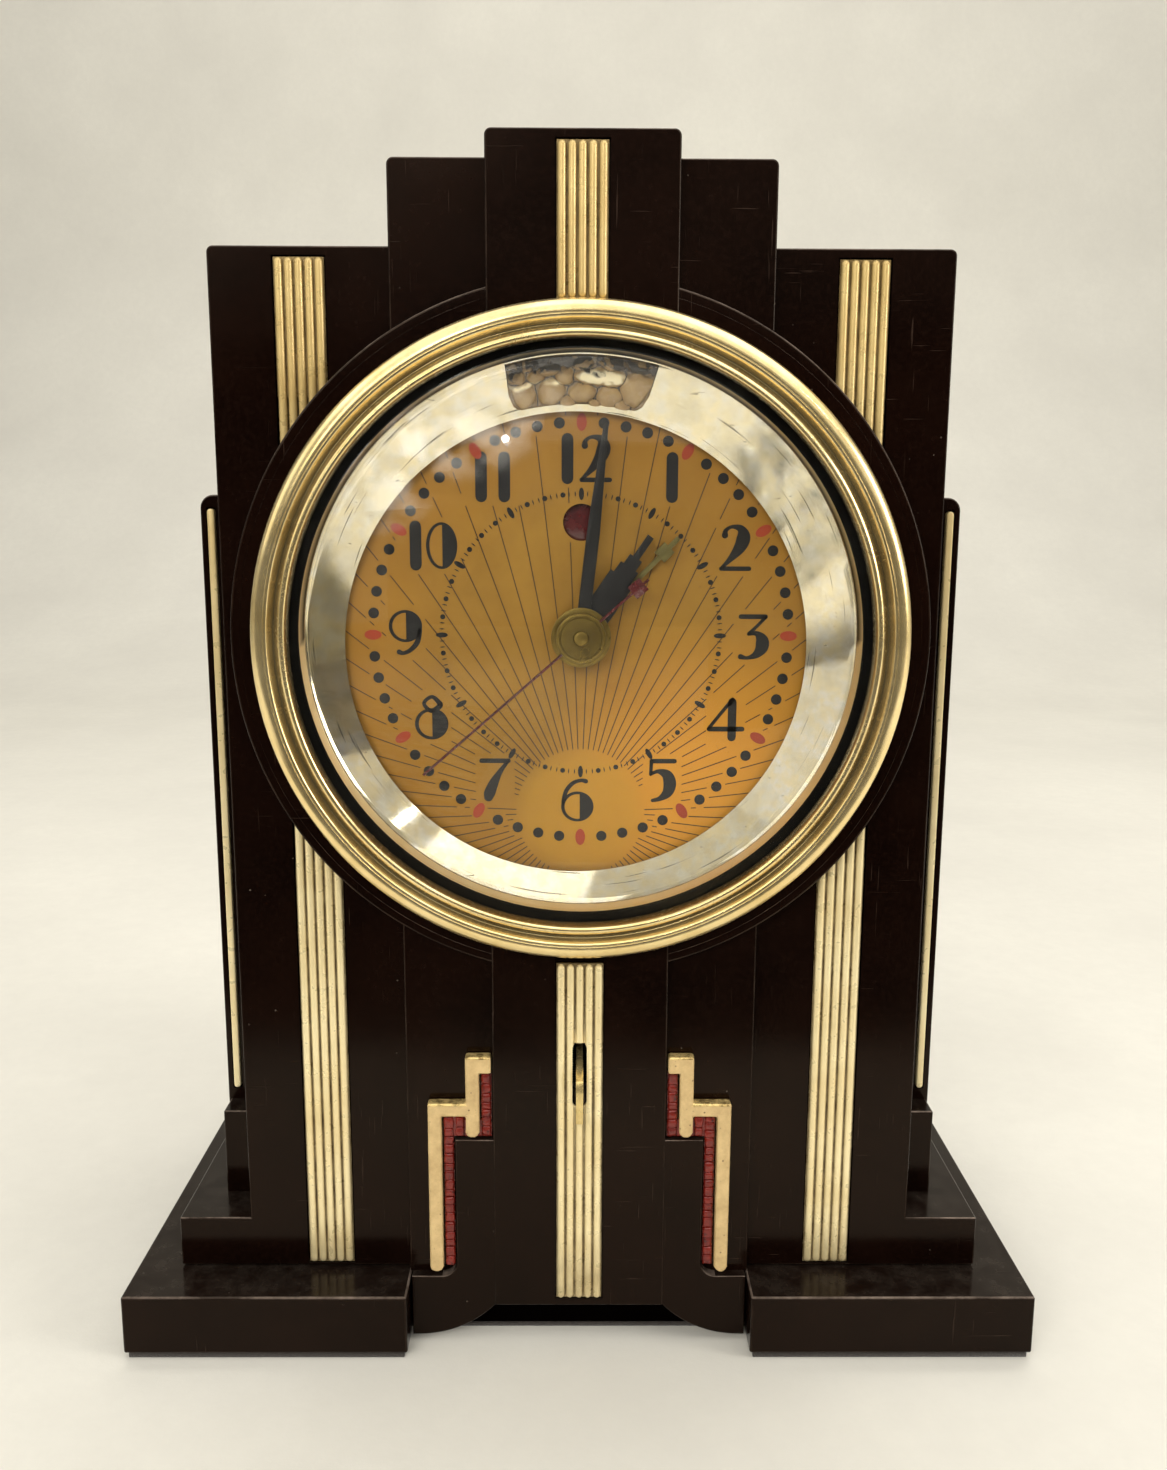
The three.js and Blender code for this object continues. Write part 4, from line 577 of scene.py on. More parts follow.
LOOKS = {
    "dark_moulding": bakelite("dark_moulding"),
    "felt": felt_cloth("felt"),
    "ivory_inlay": inlay("ivory_inlay"),
    "cast_trim": cast_trim("cast_trim"),
    "red_fill": red_bricks("red_fill"),
    "bezel_brass": tarnished_brass("bezel_brass", (0.96, 0.77, 0.40), (0.80, 0.60, 0.26), (0.17, 0.26), 0.1,
                                   0.88),
    "clear_glass": clear_glass("clear_glass"),
    "black_rubber": dusty_black("black_rubber", (0.002, 0.0018, 0.0016), 0.75, shine=0.1),
    "mirror_ring": silvered("mirror_ring"),
    "amber_diffuser": blistered("amber_diffuser"),
    "dial_paint": dial_lacquer("dial_paint"),
    "black_paint": enamel("black_paint", (0.0035, 0.0032, 0.003), 0.4, 0.0),
    "red_paint": enamel("red_paint", (0.062, 0.004, 0.004), 0.2, 0.5),
    "old_brass": tarnished_brass("old_brass", (0.25, 0.175, 0.045), (0.13, 0.088, 0.022), (0.26, 0.44)),
    "movement_brass": brushed("movement_brass", (0.6, 0.44, 0.19)),
    "screw_steel": brushed("screw_steel", (0.42, 0.42, 0.41), 0.28),
    "core_steel": laminations("core_steel"),
    "spring_steel": brushed("spring_steel", (0.2, 0.24, 0.33), 0.25),
    "coil_winding": winding("coil_winding"),
    "black_board": dusty_black("black_board", (0.009, 0.0072, 0.006), 0.66, 500),
    "alarm_brass": tarnished_brass("alarm_brass", (0.24, 0.21, 0.085), (0.16, 0.135, 0.05), (0.3, 0.48)),
    "lever_brass": tarnished_brass("lever_brass", (0.85, 0.66, 0.3), (0.62, 0.45, 0.17), (0.2, 0.34), 0.5,
                                   0.75),
    "red_print": print_ink("red_print", (0.27, 0.03, 0.006)),
    "brown_print": print_ink("brown_print", (0.045, 0.019, 0.004)),
    "backdrop": paper("backdrop"),
    "dark_cloth": dusty_black("dark_cloth", (0.012, 0.010, 0.009), 0.9),
    "dim_cloth": creased_cloth("dim_cloth", (0.10, 0.095, 0.075), (0.3, 0.28, 0.2), 12),
    "creased_cloth": creased_cloth("creased_cloth", (0.01, 0.01, 0.01), (0.9, 0.88, 0.78), 45),
}


# Mesh code: every helper works in millimetres and returns a bmesh
def turned(profile, x=0.0, z=DIAL_Z, segments=160, closed=False):
    """A lathe form on an axis along Y, from (radius, y) points."""
    made = bmesh.new()
    rings = []
    for radius, y in profile:
        if radius == 0:
            rings.append([made.verts.new((x, y, z))])
            continue
        angles = (2 * math.pi * step / segments for step in range(segments))
        around = [(x + radius * math.sin(a), y, z + radius * math.cos(a)) for a in angles]
        rings.append([made.verts.new(spot) for spot in around])
    pairs = list(zip(rings, rings[1:])) + ([(rings[-1], rings[0])] if closed else [])
    for near, far in pairs:
        for step in range(segments):
            after = (step + 1) % segments
            corners = [near[step % len(near)], near[after % len(near)]]
            corners += [far[after % len(far)], far[step % len(far)]]
            made.faces.new(list(dict.fromkeys(corners)))
    bmesh.ops.recalc_face_normals(made, faces=made.faces)
    return made


def prism(outline, start, end, axis="Y", bevel=0.0, segments=3, only=None):
    """An outline given across the axis, drawn out from start to end; only(edge) picks the edges to bevel."""
    made = bmesh.new()

    def at(a, b, along):
        return (a, along, b) if axis == "Y" else (a, b, along) if axis == "Z" else (along, a, b)

    near = [made.verts.new(at(a, b, start)) for a, b in outline]
    far = [made.verts.new(at(a, b, end)) for a, b in outline]
    made.faces.new(near)
    made.faces.new(far)
    for step in range(len(outline)):
        after = (step + 1) % len(outline)
        made.faces.new((near[step], near[after], far[after], far[step]))
    bmesh.ops.recalc_face_normals(made, faces=made.faces)
    if bevel:
        sharp = [edge for edge in made.edges if edge.calc_face_angle(0) > 0.5]
        edges = [edge for edge in sharp if only is None or only(edge)]
        bmesh.ops.bevel(made, geom=edges, offset=bevel, segments=segments, profile=0.5, affect="EDGES",
                        clamp_overlap=True)
    return made


def block(x0, x1, y0, y1, z0, z1, bevel=0.0, segments=3):
    return prism([(x0, z0), (x1, z0), (x1, z1), (x0, z1)], y0, y1, bevel=bevel, segments=segments)


def rod(x, z, radius, y0, y1, segments=48, bevel=0.0):
    """A round bar along Y."""
    profile = [(0, y0), (radius - bevel, y0), (radius, y0 + bevel)]
    profile += [(radius, y1 - bevel), (radius - bevel, y1), (0, y1)]
    profile = [point for step, point in enumerate(profile) if step == 0 or point != profile[step - 1]]
    return turned(profile, x, z, segments)


def merged(*parts):
    """One bmesh of several, without joining them."""
    whole = bmesh.new()
    for part in parts:
        mesh = bpy.data.meshes.new("part")
        part.to_mesh(mesh)
        whole.from_mesh(mesh)
        bpy.data.meshes.remove(mesh)
        part.free()
    return whole


def temporary(part):
    mesh = bpy.data.meshes.new("temporary")
    part.to_mesh(mesh)
    part.free()
    made = bpy.data.objects.new("temporary", mesh)
    scene.collection.objects.link(made)
    return made


def combined(body, tools):
    """The body with tools joined or cut, given as (operation, bmesh) in order."""
    host = temporary(body)
    helpers = []
    for operation, part in tools:
        helper = temporary(part)
        helpers.append(helper)
        step = host.modifiers.new("step", "BOOLEAN")
        step.operation = operation
        step.solver = "MANIFOLD"
        step.object = helper
    bpy.context.view_layer.update()
    mesh = bpy.data.meshes.new_from_object(host.evaluated_get(bpy.context.evaluated_depsgraph_get()))
    whole = bmesh.new()
    whole.from_mesh(mesh)
    bpy.data.meshes.remove(mesh)
    for made in [host, *helpers]:
        old = made.data
        bpy.data.objects.remove(made)
        bpy.data.meshes.remove(old)
    return whole


def mesh_of(name, part):
    """The mesh of a bmesh, in metres."""
    mesh = bpy.data.meshes.new(name)
    part.to_mesh(mesh)
    part.free()
    mesh.transform(Matrix.Scale(MM, 4))
    return mesh


def piece(name, part, look, body="case", nodes=(), angle=35, weighted=False):
    """Turns a bmesh in millimetres into a finished object that rides on a body."""
    mesh = mesh_of(name, part)
    mesh.shade_smooth()
    mesh.set_sharp_from_angle(angle=math.radians(angle))
    mesh.materials.append(LOOKS[look])
    made = bpy.data.objects.new(name, mesh)
    scene.collection.objects.link(made)
    if weighted:
        made.modifiers.new("even shading", "WEIGHTED_NORMAL").keep_sharp = True
    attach(made, body)
    if nodes:
        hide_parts(*nodes)
    return made


# Case moulding and base
def foot_outline():
    """The right bracket foot, seen from the front: stepped, with a hollow fillet and a quarter-round sole."""
    points = [(13.4, 37.4), (20.9, 37.4)]
    for step in range(9):
        turn = math.radians(180 + 90 * step / 8)
        points.append((23.5 + 2.6 * math.cos(turn), 14.8 + 2.6 * math.sin(turn)))
    points += [(28.7, 12.2), (28.7, 1.2)]
    start = math.asin((27.5 - 13.4) / 18)
    for step in range(19):
        turn = start * step / 18
        points.append((27.5 - 18 * math.sin(turn), 19.2 - 18 * math.cos(turn)))
    return points


def rounded_outline(x0, x1, z0, z1, radius, corners="abcd", steps=6):
    """A rectangle with rounded corners: a low left, b low right, c high right, d high left."""
    points = []
    centres = {"a": (x0 + radius, z0 + radius, 180), "b": (x1 - radius, z0 + radius, 270),
               "c": (x1 - radius, z1 - radius, 0), "d": (x0 + radius, z1 - radius, 90)}
    plain = {"a": (x0, z0), "b": (x1, z0), "c": (x1, z1), "d": (x0, z1)}
    for name in "abcd":
        if name not in corners:
            points.append(plain[name])
            continue
        x, z, start = centres[name]
        for step in range(steps + 1):
            turn = math.radians(start + 90 * step / steps)
            points.append((x + radius * math.cos(turn), z + radius * math.sin(turn)))
    return points


def mirrored(outline):
    return [(-x, z) for x, z in reversed(outline)]


def dial_ring():
    """The raised ring round the dial, with a fine line round its face."""
    front = RING_FRONT
    buried = WALL_BACK - 1.5
    # Each point of the face: how far in from the outside, and how far back from the front
    face = [(0, 0.4), (0.08, 0.15), (0.22, 0.04), (0.4, 0), (1.45, 0), (1.48, 0.06), (1.54, 0.06), (1.57, 0),
            (3.2, 0)]
    profile = [(RING_RADIUS - inward, front + back) for inward, back in face]
    return turned([(0, buried), (RING_RADIUS, buried), *profile, (0, front)])


def front_groove(x, front, bottom, top, half):
    """The bed of an inlay."""
    return block(x - half, x + half, front - 3, front + INLAY_SINK, bottom - 0.25, top + 0.25)


def mark_edges(part, flat=0.999):
    """Face attribute: 1 on the narrow faces that round an edge, 0 on the flat ones."""
    layer = part.faces.layers.float.new("edge")
    for face in part.faces:
        face.normal_update()
        straight = max(abs(value) for value in face.normal)
        round_wall = abs(face.normal.y) < 0.05 and face.calc_area() > 8
        face[layer] = 0.0 if straight > flat or round_wall or face.calc_area() > 30 else 1.0
    return part


def lever_slot(start, end):
    """The slot of the front lever, cut from start to end."""
    return prism(rounded_outline(-1.2, 1.2, 43.4, 55.1, 1.1), start, end)


def case_moulding():
    """The whole moulded case in one piece, hollow from the back."""

    def tower(half, front, top):
        return prism(rounded_outline(-half, half, CASE_BOTTOM, top, 1.0, "cd"), front, CASE_BACK, bevel=0.3)

    def hollow(half, bottom, top):
        return block(WALL - half, half - WALL, WALL_BACK, CASE_BACK + 3, bottom, top - WALL)

    body = tower(TOWER_HALF, TOWER_FRONT, TOWER_TOP)
    foot = foot_outline()
    apron_back = NOTCH_BACK - GAP

    def front_edge(edge):
        return all(vert.co.y < -40 for vert in edge.verts)

    wing = rounded_outline(-WING_HALF, WING_HALF, CASE_BOTTOM, WING_TOP, 2.2, "cd")
    tools = [
        ("UNION", tower(STEP_HALF, STEP_FRONT, STEP_TOP)),
        ("UNION", tower(CENTRE_HALF, CENTRE_FRONT, CENTRE_TOP)),
        ("UNION", block(-CENTRE_HALF, CENTRE_HALF, CENTRE_FRONT, apron_back, APRON_BOTTOM, 60, 0.25)),
        ("UNION", block(-PLINTH_HALF, PLINTH_HALF, TOWER_FRONT, CASE_BACK, CASE_BOTTOM, PLINTH_TOP, 0.3)),
        ("UNION", block(-BLOCK_HALF, BLOCK_HALF, BLOCK_FRONT, CASE_BACK, CASE_BOTTOM, BLOCK_TOP, 0.3)),
        ("UNION", prism(wing, WING_FRONT, WING_BACK, bevel=0.3)),
        ("UNION", prism(foot, CENTRE_FRONT + 0.1, apron_back, bevel=0.2, only=front_edge)),
        ("UNION", prism(mirrored(foot), CENTRE_FRONT + 0.1, apron_back, bevel=0.2, only=front_edge)),
        ("UNION", dial_ring()),
        ("DIFFERENCE", hollow(TOWER_HALF, 0, TOWER_TOP)),
        ("DIFFERENCE", hollow(STEP_HALF, 170, STEP_TOP)),
        ("DIFFERENCE", hollow(CENTRE_HALF, 180, CENTRE_TOP)),
    ]
    tools += [
        ("DIFFERENCE", rod(0, DIAL_Z, 51.3, CENTRE_FRONT - 3, -38.6, 160)),
        ("DIFFERENCE", rod(0, DIAL_Z, 47, CENTRE_FRONT - 3.5, WALL_BACK + 3, 156)),
        ("DIFFERENCE", front_groove(0, CENTRE_FRONT, CENTRE_STRIP_LOW, CENTRE_STRIP_HIGH, 4.1)),
        ("DIFFERENCE", lever_slot(CENTRE_FRONT - 3, WALL_BACK + 1)),
    ]
    for side in (-1, 1):
        screw_x = side * SCREW_X
        near_side, far_side = sorted((side * 48.4, side * 56))
        tools += [
            ("UNION", rod(screw_x, COVER_SCREW_Z, 4, WALL_BACK - 1, COVER_FRONT - 0.3, 26)),
            ("UNION", block(near_side, far_side, WALL_BACK - 1, -24.8, DIAL_Z - 4, DIAL_Z + 4)),
            ("UNION", upright(screw_x, BASE_SCREW_Y, 4, CASE_BOTTOM, 25.9)),
            ("DIFFERENCE", front_groove(side * STRIP_X, TOWER_FRONT, STRIP_LOW, STRIP_HIGH, 4.1)),
            ("DIFFERENCE", front_groove(side * ROD_X, WING_FRONT, ROD_LOW, ROD_HIGH, 0.85)),
            ("DIFFERENCE", rod(screw_x, COVER_SCREW_Z, SCREW_BORE, 24, COVER_FRONT, 24)),
            ("DIFFERENCE", rod(side * 50.4, DIAL_Z, SCREW_BORE, WALL_BACK, -24, 24)),
            ("DIFFERENCE", upright(screw_x, BASE_SCREW_Y, SCREW_BORE, 0, 24.4)),
        ]
    part = mark_edges(combined(body, tools))
    return piece("case_moulding", part, "dark_moulding", nodes=["case_shell"], weighted=True)


def upright(x, y, radius, z0, z1, segments=32, bevel=0.0):
    """A round bar along Z."""
    made = rod(x, 0, radius, z0, z1, segments, bevel)
    turn = Matrix(((1, 0, 0, 0), (0, 0, -1, y), (0, 1, 0, 0), (0, 0, 0, 1)))
    made.transform(turn)
    return made


def base_outline(width, front, back, notch, notch_back):
    half = width / 2
    return [(-half, front), (-notch, front), (-notch, notch_back), (notch, notch_back), (notch, front),
            (half, front), (half, back), (-half, back)]


def base():
    """The slab with its notch, and the felt pad under it."""
    outline = base_outline(BASE_WIDTH, BASE_FRONT, BASE_BACK, NOTCH_HALF, NOTCH_BACK)
    slab = prism(outline, 1.2, BASE_TOP, "Z", 0.4, 4)
    tools = []
    for side in (-1, 1):
        tools += [("DIFFERENCE", upright(side * SCREW_X, BASE_SCREW_Y, SCREW_BORE, 0, BASE_TOP + 1)),
                  ("DIFFERENCE", upright(side * SCREW_X, BASE_SCREW_Y, 3.3, 0, 3.1))]
    part = mark_edges(combined(slab, tools))
    # Painted shade: the back face of the notch, under the apron, is marked to be painted near black
    shaded = part.faces.layers.float.new("burnt")
    for face in part.faces:
        in_notch = abs(face.calc_center_median().y - NOTCH_BACK) < 0.6 and face.normal.y < -0.2
        face[shaded] = 1.0 if in_notch else 0.0
    piece("base_moulding", part, "dark_moulding", nodes=["base_slab"], weighted=True)
    inset = 0.6
    outline = base_outline(BASE_WIDTH - 2 * inset, BASE_FRONT + inset, BASE_BACK - inset, NOTCH_HALF + inset,
                           NOTCH_BACK + inset)
    piece("felt_pad", prism(outline, 0.0, 0.9, "Z", 0.15, 2), "felt", nodes=["base_felt"])


# Reeded strips and rods
def reed(x, front, bottom, top, half=0.74, depth=0.95, blunt=0.75, steps=10):
    """One half-round reed with rounded ends; its attribute groove says how deep a point lies."""
    made = bmesh.new()
    layer = made.verts.layers.float.new("groove")
    stations = []
    for share in (1.0, 0.8, 0.55, 0.3, 0.1):
        rise = 1 - math.cos(math.radians(90 * (1 - share)))
        stations.append((bottom + blunt * rise, math.cos(math.radians(88 * share))))
    stations.append((bottom + blunt, 1.0))
    middle = [bottom + blunt + (top - bottom - 2 * blunt) * step / 12 for step in range(1, 12)]
    stations += [(z, 1.0) for z in middle]
    stations += [(top + bottom - z, scale) for z, scale in reversed(stations[:6])]
    rings = []
    for z, scale in stations:
        ring = []
        for step in range(steps + 1):
            turn = math.pi * step / steps
            y = front + depth - depth * scale * math.sin(turn)
            vert = made.verts.new((x - half * scale * math.cos(turn), y, z))
            vert[layer] = (1 - math.sin(turn)) ** 1.5
            ring.append(vert)
        rings.append(ring)
    for low, high in zip(rings, rings[1:]):
        for step in range(steps):
            made.faces.new((low[step], low[step + 1], high[step + 1], high[step]))
        made.faces.new((low[0], high[0], high[steps], low[steps]))
    made.faces.new(rings[0])
    made.faces.new(rings[-1])
    bmesh.ops.recalc_face_normals(made, faces=made.faces)
    return made


def plate_with_groove(x0, x1, y0, y1, z0, z1):
    made = block(x0, x1, y0, y1, z0, z1)
    layer = made.verts.layers.float.new("groove")
    for vert in made.verts:
        vert[layer] = 1.0
    return made


def strip(name, x, front, bottom, top, bottom_at=None, top_at=None):
    """Five reeds on a backing plate; bottom_at and top_at give an end that follows a circle."""
    proud = front - 0.5
    parts = []
    ends = []
    for number in range(5):
        centre = x + (number - 2) * REED_PITCH
        low = bottom_at(centre) if bottom_at else bottom
        high = top_at(centre) if top_at else top
        ends.append((low, high))
        parts.append(reed(centre, proud, low, high))
    lowest, highest = max(low for low, _ in ends), min(high for _, high in ends)
    sides = (x - STRIP_HALF, x + STRIP_HALF)
    parts.append(plate_with_groove(*sides, front + 0.2, front + 0.58, lowest, highest))
    return piece(name + "_reeds", merged(*parts), "ivory_inlay", nodes=[name], angle=50)


def circle_edge(radius, side):
    """Height at x of a circle about the dial's axis: its upper half (side 1) or lower half (side -1)."""
    return lambda x: DIAL_Z + side * math.sqrt(radius ** 2 - x * x)


def strips():
    ring, rim = RING_RADIUS - 0.4, BEZEL_RADIUS + 0.35
    for label, side in (("left", -1), ("right", 1)):
        strip(f"strip_upper_{label}", side * STRIP_X, TOWER_FRONT, 0, STRIP_HIGH,
              bottom_at=circle_edge(ring, 1))
        strip(f"strip_lower_{label}", side * STRIP_X, TOWER_FRONT, STRIP_LOW, 0, top_at=circle_edge(ring, -1))
        profile = rounded_outline(side * ROD_X - 0.6, side * ROD_X + 0.6, ROD_LOW, ROD_HIGH, 0.58)
        bar = prism(profile, WING_FRONT - 0.5, WING_FRONT + 0.6, bevel=0.25, segments=3,
                    only=lambda edge: all(vert.co.y < WING_FRONT - 0.4 for vert in edge.verts))
        piece(f"wing_rod_{label}_bar", bar, "ivory_inlay", nodes=[f"wing_rod_{label}"])
    strip("strip_upper_centre", 0, CENTRE_FRONT, 0, CENTRE_STRIP_HIGH, bottom_at=circle_edge(rim, 1))
    lower_centre_strip(circle_edge(rim, -1))


def lower_centre_strip(top_at):
    """The strip that the lever's slot is cut through; it stops short of the bezel."""
    short = 1.9
    parts = []
    for number in range(5):
        centre = (number - 2) * REED_PITCH
        parts.append(reed(centre, CENTRE_FRONT - 0.5, CENTRE_STRIP_LOW, top_at(centre) - short))
    parts.append(plate_with_groove(-STRIP_HALF, STRIP_HALF, CENTRE_FRONT + 0.2, CENTRE_FRONT + 0.58,
                                   CENTRE_STRIP_LOW + 0.1, top_at(STRIP_HALF) - short))
    cut = [combined(part, [("DIFFERENCE", lever_slot(CENTRE_FRONT - 3, CENTRE_FRONT + 3))]) for part in parts]
    piece("strip_lower_centre_reeds", merged(*cut), "ivory_inlay", nodes=["strip_lower_centre"], angle=50)


# Stepped ornaments
def roughened(part, amount, scale, seed):
    """Small uneven shifts of every point, as a hand-finished casting has."""
    offset = Vector((seed * 7.3, seed * 3.1, seed * 5.7))
    for vert in part.verts:
        vert.co += noise.noise_vector(vert.co * scale + offset) * amount
    return part


def subdivided(part, length):
    """Cuts the long edges of a part until none is much longer than length."""
    for _ in range(6):
        edges = [edge for edge in part.edges if edge.calc_length() > 1.6 * length]
        if not edges:
            break
        bmesh.ops.subdivide_edges(part, edges=edges, cuts=1, use_grid_fill=True)
    bmesh.ops.triangulate(part, faces=[face for face in part.faces if len(face.verts) > 4])
    return part


def ornaments():
    """The two cream trims and their red fills."""
    outline = [(14.8, 52.4), (19.1, 52.4), (19.1, 44.1), (25.5, 44.1), (25.5, 14.1), (25.2, 13.5),
               (24.6, 13.2), (24.1, 13.2), (23.5, 13.5), (23.2, 14.1), (23.2, 41.7), (19.1, 41.7),
               (19.1, 38.8), (18.8, 38.25), (18.3, 38), (17.6, 38), (17.1, 38.25), (16.8, 38.8),
               (16.8, 49.4), (14.8, 49.4)]
    front = STEP_FRONT - 0.3 - 1.9
    for label, side in (("left", -1), ("right", 1)):
        shape = outline if side > 0 else mirrored(outline)
        trim = prism(shape, front, STEP_FRONT - 0.3, bevel=0.4, segments=3,
                     only=lambda edge: min(vert.co.y for vert in edge.verts) < front + 0.1)
        # Faces that face up are marked for gilt, partly a painted highlight
        layer = trim.faces.layers.float.new("edge")
        for face in trim.faces:
            face.normal_update()
            face[layer] = 1.0 if face.normal.z > 0.25 else 0.0
        trim = roughened(trim, 0.07, 0.9, side)
        neck = block(*sorted((side * 15.8, side * 20.1)), -39.6 - 0.6, -38, 37, 40.7)
        trim = combined(trim, [("DIFFERENCE", neck)])
        piece(f"trim_{label}_casting", trim, "cast_trim", nodes=[f"trim_{label}"],
              angle=40, weighted=True)
        piece(f"fill_{label}_bricks", brick_fill(side), "red_fill", nodes=[f"fill_{label}"], angle=50)


def brick_fill(side):
    """Courses of small uneven blocks on a thin plate, inside each step of the trim."""
    chance = random.Random(11 if side > 0 else 23)
    back = STEP_FRONT - 0.3
    parts = []

    def column(x0, x1, z0, z1):
        z = z0
        while z < z1 - 0.5:
            tall = min(chance.uniform(1.25, 1.9), z1 - z)
            if z1 - z - tall < 0.6:
                tall = z1 - z
            skew = chance.uniform(-0.08, 0.08)
            low, high = sorted((side * x0, side * x1))
            out = back - 1.2 + chance.uniform(0.0, 0.25)
            brick = block(low, high, out, back - 0.2, z, z + tall, 0.4, 4)
            subdivided(brick, 0.5)
            parts.append(roughened(brick, 0.13, 1.5, chance.random() + skew))
            z += tall

    column(14.85, 16.5, 37.8, 49.05)
    column(19.45, 20.9, 37.8, 41.35)
    column(21.2, 22.9, 14.0, 41.35)
    beds = [(14.8, 16.5, 37.7, 49.1), (16.4, 19.5, 37.7, 40.6), (19.4, 22.9, 37.7, 41.4),
            (21.2, 22.9, 14.6, 38)]
    for x0, x1, z0, z1 in beds:
        low, high = sorted((side * x0, side * x1))
        parts.append(block(low, high, back - 0.58, back, z0, z1))
    return merged(*parts)


# Bezel, glass, gasket, reflector and diffuser
def smooth_profile(points, steps=4):
    """A Catmull-Rom curve through (radius, y) points."""
    result = []
    for number in range(len(points) - 1):
        before = points[max(number - 1, 0)]
        a, b = points[number], points[number + 1]
        after = points[min(number + 2, len(points) - 1)]
        for step in range(steps):
            near = zip(before, a, b, after)
            result.append(tuple(curve_value(*values, step / steps) for values in near))
    return result + [points[-1]]


def curve_value(before, a, b, after, t):
    square = (2 * before - 5 * a + 4 * b - after) * t * t
    cube = (3 * a - before - 3 * b + after) * t ** 3
    return 0.5 * (2 * a + (b - before) * t + square + cube)


def clamped(value):
    return max(0.0, min(1.0, value))


def ring_values(part, name, value):
    """Vertex attribute by radius from the dial's axis."""
    layer = part.verts.layers.float.new(name)
    for vert in part.verts:
        vert[layer] = value(math.hypot(vert.co.x, vert.co.z - DIAL_Z), vert.co.y)
    return part


def bezel():
    """The brass ring, turned to a roll, a ridge, a cove and a bead."""
    front = BEZEL_FRONT
    # The four forms of its face, from the outside in: radius, and how far back from the front
    roll = [(BEZEL_RADIUS, 1.8), (50.93, 1.3), (50.7, 0.85), (50.35, 0.5), (49.9, 0.24), (49.4, 0.07),
            (48.98, 0.01), (48.78, 0.03)]
    ridge = [(48.74, 0.12), (48.68, 0.12), (48.64, 0.04), (48.5, 0.03), (48.3, 0.1), (48.14, 0.26),
             (48.0, 0.52)]
    cove = [(47.9, 0.8), (47.65, 1.15), (47.35, 1.3), (47.05, 1.15), (46.82, 0.85)]
    bead = [(46.74, 0.62), (46.55, 0.3), (46.25, 0.08), (45.95, 0.0), (45.68, 0.1), (45.47, 0.35),
            (45.35, 0.8), (45.3, 1.5)]
    face = smooth_profile(roll) + smooth_profile(ridge) + smooth_profile(cove) + smooth_profile(bead)
    profile = [(BEZEL_RADIUS, BEZEL_BACK)] + [(radius, front + deep) for radius, deep in face]
    profile += [(45.3, front + 2.7), (47.2, front + 2.7), (47.2, BEZEL_BACK)]
    part = turned(profile, closed=True, segments=192)

    def depth(radius, y):
        groove = clamped(1.6 - abs(radius - 47.38) / 0.36)
        line = max(0.0, 1 - abs(radius - 48.71) / 0.05)
        inner = clamped((45.55 - radius) / 0.2)
        return min(1.0, 0.75 * groove + 0.8 * line + inner)

    ring_values(part, "burnt", lambda radius, y: clamped((47.3 - radius) / 0.4))
    piece("bezel_ring", ring_values(part, "groove", depth), "bezel_brass", nodes=["bezel"], angle=60)


def crystal():
    """The domed glass with its flat rim."""
    rim, rise, inner_rise = 45.0, 5.95, 5.6
    front_rim, back_rim = -42.5, -40.7
    dome = [(rim * step / 24, front_rim - rise * (1 - (step / 24) ** 2)) for step in range(25)]
    hollow = [(43.2 * step / 24, back_rim - inner_rise * (1 - (step / 24) ** 2)) for step in range(25)]
    edge = [(46.7, front_rim), (46.9, front_rim + 0.2), (46.9, back_rim - 0.2), (46.7, back_rim)]
    part = turned(dome + edge + hollow[::-1], segments=128)
    piece("domed_glass", part, "clear_glass", nodes=["crystal"], angle=40)


def gasket():
    profile = [(46.85, -40.35), (46.85, -39.75), (44.3, -39.75), (44.15, -39.9), (44.15, -40.2),
               (44.35, -40.38)]
    part = turned(profile, closed=True, segments=128)
    piece("gasket_ring", part, "black_rubber", nodes=["gasket"])


def ring_sector(inner, outer, half_angle, corner, y0, y1, steps=40):
    """A sector of the ring about the upright with rounded corners on its inner side."""
    half = math.radians(half_angle)
    points = []
    for step in range(steps + 1):
        turn = half - 2 * half * step / steps
        edge = (half - abs(turn)) * inner
        reach = corner ** 2 - max(0.0, corner - edge) ** 2
        lift = corner - math.sqrt(max(0.0, reach)) if edge < corner else 0.0
        points.append(((inner + lift) * math.sin(turn), DIAL_Z + (inner + lift) * math.cos(turn)))
    for step in range(steps + 1):
        turn = 2 * half * step / steps - half
        points.append((outer * math.sin(turn), DIAL_Z + outer * math.cos(turn)))
    return prism(points, y0, y1)


MIRROR_OUTER = (43.7, -36.4)
MIRROR_INNER = (37.4, -33.1)
MIRROR_LOW = (-0.8, -2.0)


def skewed(part):
    """Moves the mirror's inner edge a little down and to the left, as it sits in the photograph."""
    for vert in part.verts:
        radius = math.hypot(vert.co.x, vert.co.z - DIAL_Z)
        share = clamped((MIRROR_OUTER[0] - radius) / (MIRROR_OUTER[0] - MIRROR_INNER[0]))
        vert.co.x += MIRROR_LOW[0] * share
        vert.co.z += MIRROR_LOW[1] * share
    return part


